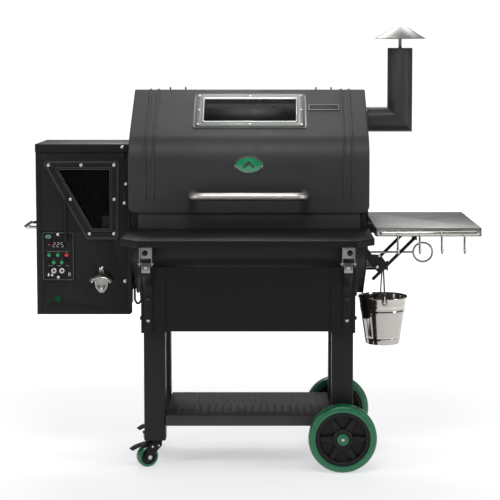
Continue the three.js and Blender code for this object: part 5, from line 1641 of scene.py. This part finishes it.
def control_panel():
    low, high = box("control_panel")
    face = low.y
    buttons = [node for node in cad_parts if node.startswith("button_")]
    holes = []
    for node in buttons:
        a, b = box(node)
        holes.append(circle(((a.x + b.x) / 2, (a.z + b.z) / 2), 6.2, 36))
    outline = rectangle((low.x, low.z), (high.x, high.z), 6)
    plate = Form().prism(outline, (face, high.y), "y", holes, bevel=0.5)
    plate.piece("panel_plate", PANEL_FACE, "cart", "black_plastic", "control_panel")

    trim = Form()
    edge = rectangle((low.x + 2.6, low.z + 2.6), (high.x - 2.6, high.z - 2.6), 4)
    inner = rectangle((low.x + 3.4, low.z + 3.4), (high.x - 3.4, high.z - 3.4), 3.4)
    trim.prism(edge, (face - 0.2, face + 0.4), "y", [inner])
    trim.block((-602, -536), (face - 0.25, face + 0.4), (646.6, 647.6))
    for x, width in ((-598, 14), (-572, 14), (-546, 10)):
        trim.block((x, x + width), (face - 0.25, face + 0.4), (603.2, 605))
    for x, z in ((-581, 624), (-557, 624), (-595, 644.6), (-569, 644.6), (-543, 644.6)):
        trim.block((x - 3, x + 3), (face - 0.25, face + 0.4), (z - 0.5, z + 0.6))
    trim.piece("panel_print", FAINT_PRINT, "cart", "black_plastic")

    spots = [(-568, face, 698), (-568, face, 569.5)]
    studs("panel_screws", BOLT_STEEL, "cart", "stainless", pan_head, spots, FRONTWARD, 4.4)

    lens = Form().prism(rectangle((-588, 656), (-548, 678.5), 1.2), (face - 0.6, face + 0.4), "y", bevel=0.25)
    lens.piece("display_lens", DISPLAY, "cart", "black_plastic")
    digits = Form()
    for index, digit in enumerate("225"):
        for bar in DIGIT_BARS[digit]:
            across, up, upright = SEGMENTS[bar]
            x, z = -580 + 12 * index + across * 6.6, 667.2 + up * 6.8
            half_x, half_z = (0.5, 2.7) if upright else (2.7, 0.5)
            digits.block((x - half_x, x + half_x), (face - 0.8, face - 0.5), (z - half_z, z + half_z))
    digits.piece("display_digits", DIGITS, "cart", "black_plastic")
    studs("panel_lamp", LED_RED, "cart", "black_plastic", dome_head, [(-595, face, 667)], FRONTWARD, 1.7, 1.2)

    jacks, sockets = Form(), Form()
    for x in (-581, -557):
        at = towards(FRONTWARD, (x, face, 589))
        collar = [(3.4, 0), (7.2, 0), (7.8, 0.6), (7.8, 1.6), (7, 2.2), (3.8, 2.2), (3.4, 1.8), (3.4, 0)]
        jacks.at(at).lathe(collar, "z", (0, 0, 0), 36)
        sockets.at(at).lathe(
            [(0, 0.1), (3.6, 0.1), (3.6, 1.0), (1.2, 1.0), (1.2, 0.4), (0, 0.4)], "z", (0, 0, 0), 24,
        )
    jacks.piece("probe_jacks", BOLT_STEEL, "cart", "stainless")
    sockets.piece("probe_jack_bores", VOID_BLACK, "cart", "black_plastic")

    marks = Form()
    flame = [(-600.2, 574), (-597, 572.6), (-593.8, 574), (-594.6, 578), (-597, 583), (-599.4, 578)]
    house = [(-589, 572.6), (-583.6, 572.6), (-583.6, 578), (-586.3, 581), (-589, 578)]
    link, gap = rectangle((-538, 574), (-531.6, 583), 2.4), rectangle((-536.8, 575.2), (-532.8, 581.8), 1.4)
    for outline, holes in ((flame, []), (house, []), (link, [gap])):
        marks.prism(outline, (face - 0.25, face + 0.3), "y", holes)
    marks.piece("panel_marks", PRINT, "cart", "black_plastic")
    badge = Form()
    oval = [
        (-597 + 8.4 * math.cos(t), 691 + 5.0 * math.sin(t))
        for t in (2 * math.pi * i / 40 for i in range(40))
    ]
    badge.prism(oval, (face - 0.6, face + 0.3), "y", bevel=0.25)
    badge.piece("panel_oval", ENAMEL, "cart", "black_plastic")
    rim = Form().at(Matrix.Translation((-597, face - 0.4, 691)))
    wire = [
        Vector((8.4 * math.cos(t), 0, 5.0 * math.sin(t))) for t in (2 * math.pi * i / 48 for i in range(49))
    ]
    rim.tube(wire, 0.5, sides=6)
    rim.piece("panel_oval_rim", BOLT_STEEL, "cart", "stainless")


def push_button(node, radius, material, slot, crown):
    low, high = box(node)
    x, z = (low.x + high.x) / 2, (low.z + high.z) / 2
    depth = high.y - low.y
    profile = [
        (0, depth - crown), (radius - 2.8, depth - crown * 0.4), (radius - 1, depth - 0.3),
        (radius - 0.2, depth - 1.1), (radius, depth - 2), (radius, 1.7), (radius + 1.7, 1.7),
        (radius + 1.7, 0.2),
        (0, 0.2),
    ]
    form = Form().at(towards(FRONTWARD, (x, high.y, z)))
    form.lathe(profile, "z", (0, 0, 0), 40)
    form.piece(node + "_cap", material, node, slot, node)


def buttons():
    for node in ("button_up", "button_down", "button_fan", "button_probe"):
        push_button(node, 5.7, BUTTON_GREEN, "button_green", 0.4)
    push_button("button_stop", 5.7, BUTTON_RED, "button_red", 0.4)
    push_button("power_button", 9.6, POWER_GREEN, "button_green", 0.8)
    bezel = Form().at(towards(FRONTWARD, (POWER[0], FRONT, POWER[1])))
    bezel.lathe(
        [(10.6, 0), (13.6, 0), (14.2, 0.6), (14.2, 1.6), (13, 2.8), (11.2, 2.8), (10.6, 2), (10.6, 0)], "z",
        (0, 0, 0), 48,
    )
    bezel.piece("power_bezel", VOID_BLACK, "cart", "black_plastic")


# ---------------------------------------------------------------- opener, handle and antenna
def anticlockwise(outline):
    area = sum(a[0] * b[1] - b[0] * a[1] for a, b in zip(outline, outline[1:] + outline[:1]))
    return outline if area > 0 else outline[::-1]


def opener():
    """Wall-mounted bottle opener: a tapered back plate under an arched hood."""
    plate = anticlockwise(rounded([
        (-447, 584, 3), (-446, 600.5, 6), (-432, 600.5, 6), (-431, 584, 3), (-415, 570, 6), (-421, 538, 10),
        (-433, 522.4, 7), (-445, 522.4, 7), (-457, 538, 10), (-463, 570, 6),
    ], step=10))
    loops = []
    for scale, height in ((1, 0.4), (1, 3), (0.94, 4.4), (0.84, 5.2), (0.78, 5), (0.6, 4.2), (0.3, 3.9)):
        inset = [(OPENER_X + (x - OPENER_X) * scale, 560 + (z - 560) * scale) for x, z in plate[::-1]]
        loops.append([Vector((x, FRONT - height, z)) for x, z in inset])
    form = Form().rings(loops, closed=False)
    form.piece("opener_plate", OPENER_STEEL, "cart", "stainless", "bottle_opener")

    def arc(radius_x, radius_z, z, degrees):
        return [
            (OPENER_X + radius_x * math.cos(t), z + radius_z * math.sin(t))
            for t in map(math.radians, degrees)
        ]

    arch = arc(35, 27, 557, range(0, 181, 10)) + arc(23, 12, 557, range(180, -1, -10))
    hood = Form().prism(anticlockwise(arch), (FRONT - 20, FRONT - 4), "y", bevel=2.4)
    hood.piece("opener_hood", DARK_STEEL, "cart", "stainless")
    edge = [Vector((x, FRONT - 19, z)) for x, z in arc(27, 15, 556, [7.5 * i for i in range(25)])]
    lip = Form().tube(edge, 2.6, sides=14, dome=2)
    lip.piece("opener_lip", CHROME, "cart", "stainless")
    spots = [(OPENER_X, FRONT - 4, z) for z in (593, 534)]
    studs("bottle_opener_bolts", BOLT_STEEL, "cart", "stainless", dome_head, spots, FRONTWARD, 5.4, 2.8)


def hopper_pull():
    low, high = box("hopper_handle")
    z, r, out = (low.z + high.z) / 2, 5.5, low.x + 5.5
    form = Form().tube([(high.x, -70, z), (out, -70, z), (out, 70, z), (high.x, 70, z)], r, bend=22, sides=24)
    for y in (-70, 70):
        form.lathe(
            [
                (5, high.x - 3), (9, high.x - 3), (10, high.x - 1.6), (10, high.x), (5, high.x),
                (5, high.x - 3),
            ],
            "x", (0, y, z), 32,
        )
    form.piece("hopper_pull", CHROME, "cart", "polished_steel", "hopper_handle")


def aerial():
    low, high = box("antenna")
    x, y = (low.x + high.x) / 2, FRONT - 10
    form = Form()
    form.lathe([
        (0, low.z + 2), (3.6, low.z + 2), (4, low.z + 3), (4, low.z + 22), (3.4, low.z + 23),
        (3.4, low.z + 25), (4, low.z + 26),
        (3.4, high.z - 5), (2.6, high.z - 1.5), (1.2, high.z - 0.3), (0, high.z),
    ], "z", (x, y, 0), 28)
    form.block((x - 4, x + 4), (y - 2, FRONT - 2.8), (low.z, low.z + 12), 1.2)
    form.piece("aerial_rod", PLASTIC, "cart", "black_plastic", "antenna")


def lead():
    loop = [
        (HOPPER_HIGH.x + 0.4, -100, 545), (-341.5, -100, 545), (-341.5, -100, 498), (-332, -100, 483),
        (-322.5, -100, 498),
        (-322.5, -100, 545), (-316.4, -100, 545),
    ]
    Form().tube(loop, 3.3, bend=8, sides=16).piece(
        "lead_loop", PLASTIC, "cart", "black_plastic", "sensor_lead",
    )


hopper_shell()
hopper_cover()
hopper_window()
control_panel()
buttons()
opener()
hopper_pull()
aerial()
lead()


# ---------------------------------------------------------------- inside parts
def firing_parts():
    keep("cooking_grate", IRON, 0.6)
    keep("drip_tray", ZINC, 0.8)
    keep("fire_pot", IRON, 0.6)
    keep("auger", ZINC, 0.3)
    keep("auger_motor", ZINC, 0.8)
    keep("combustion_fan", PLASTIC, 0.3)


firing_parts()
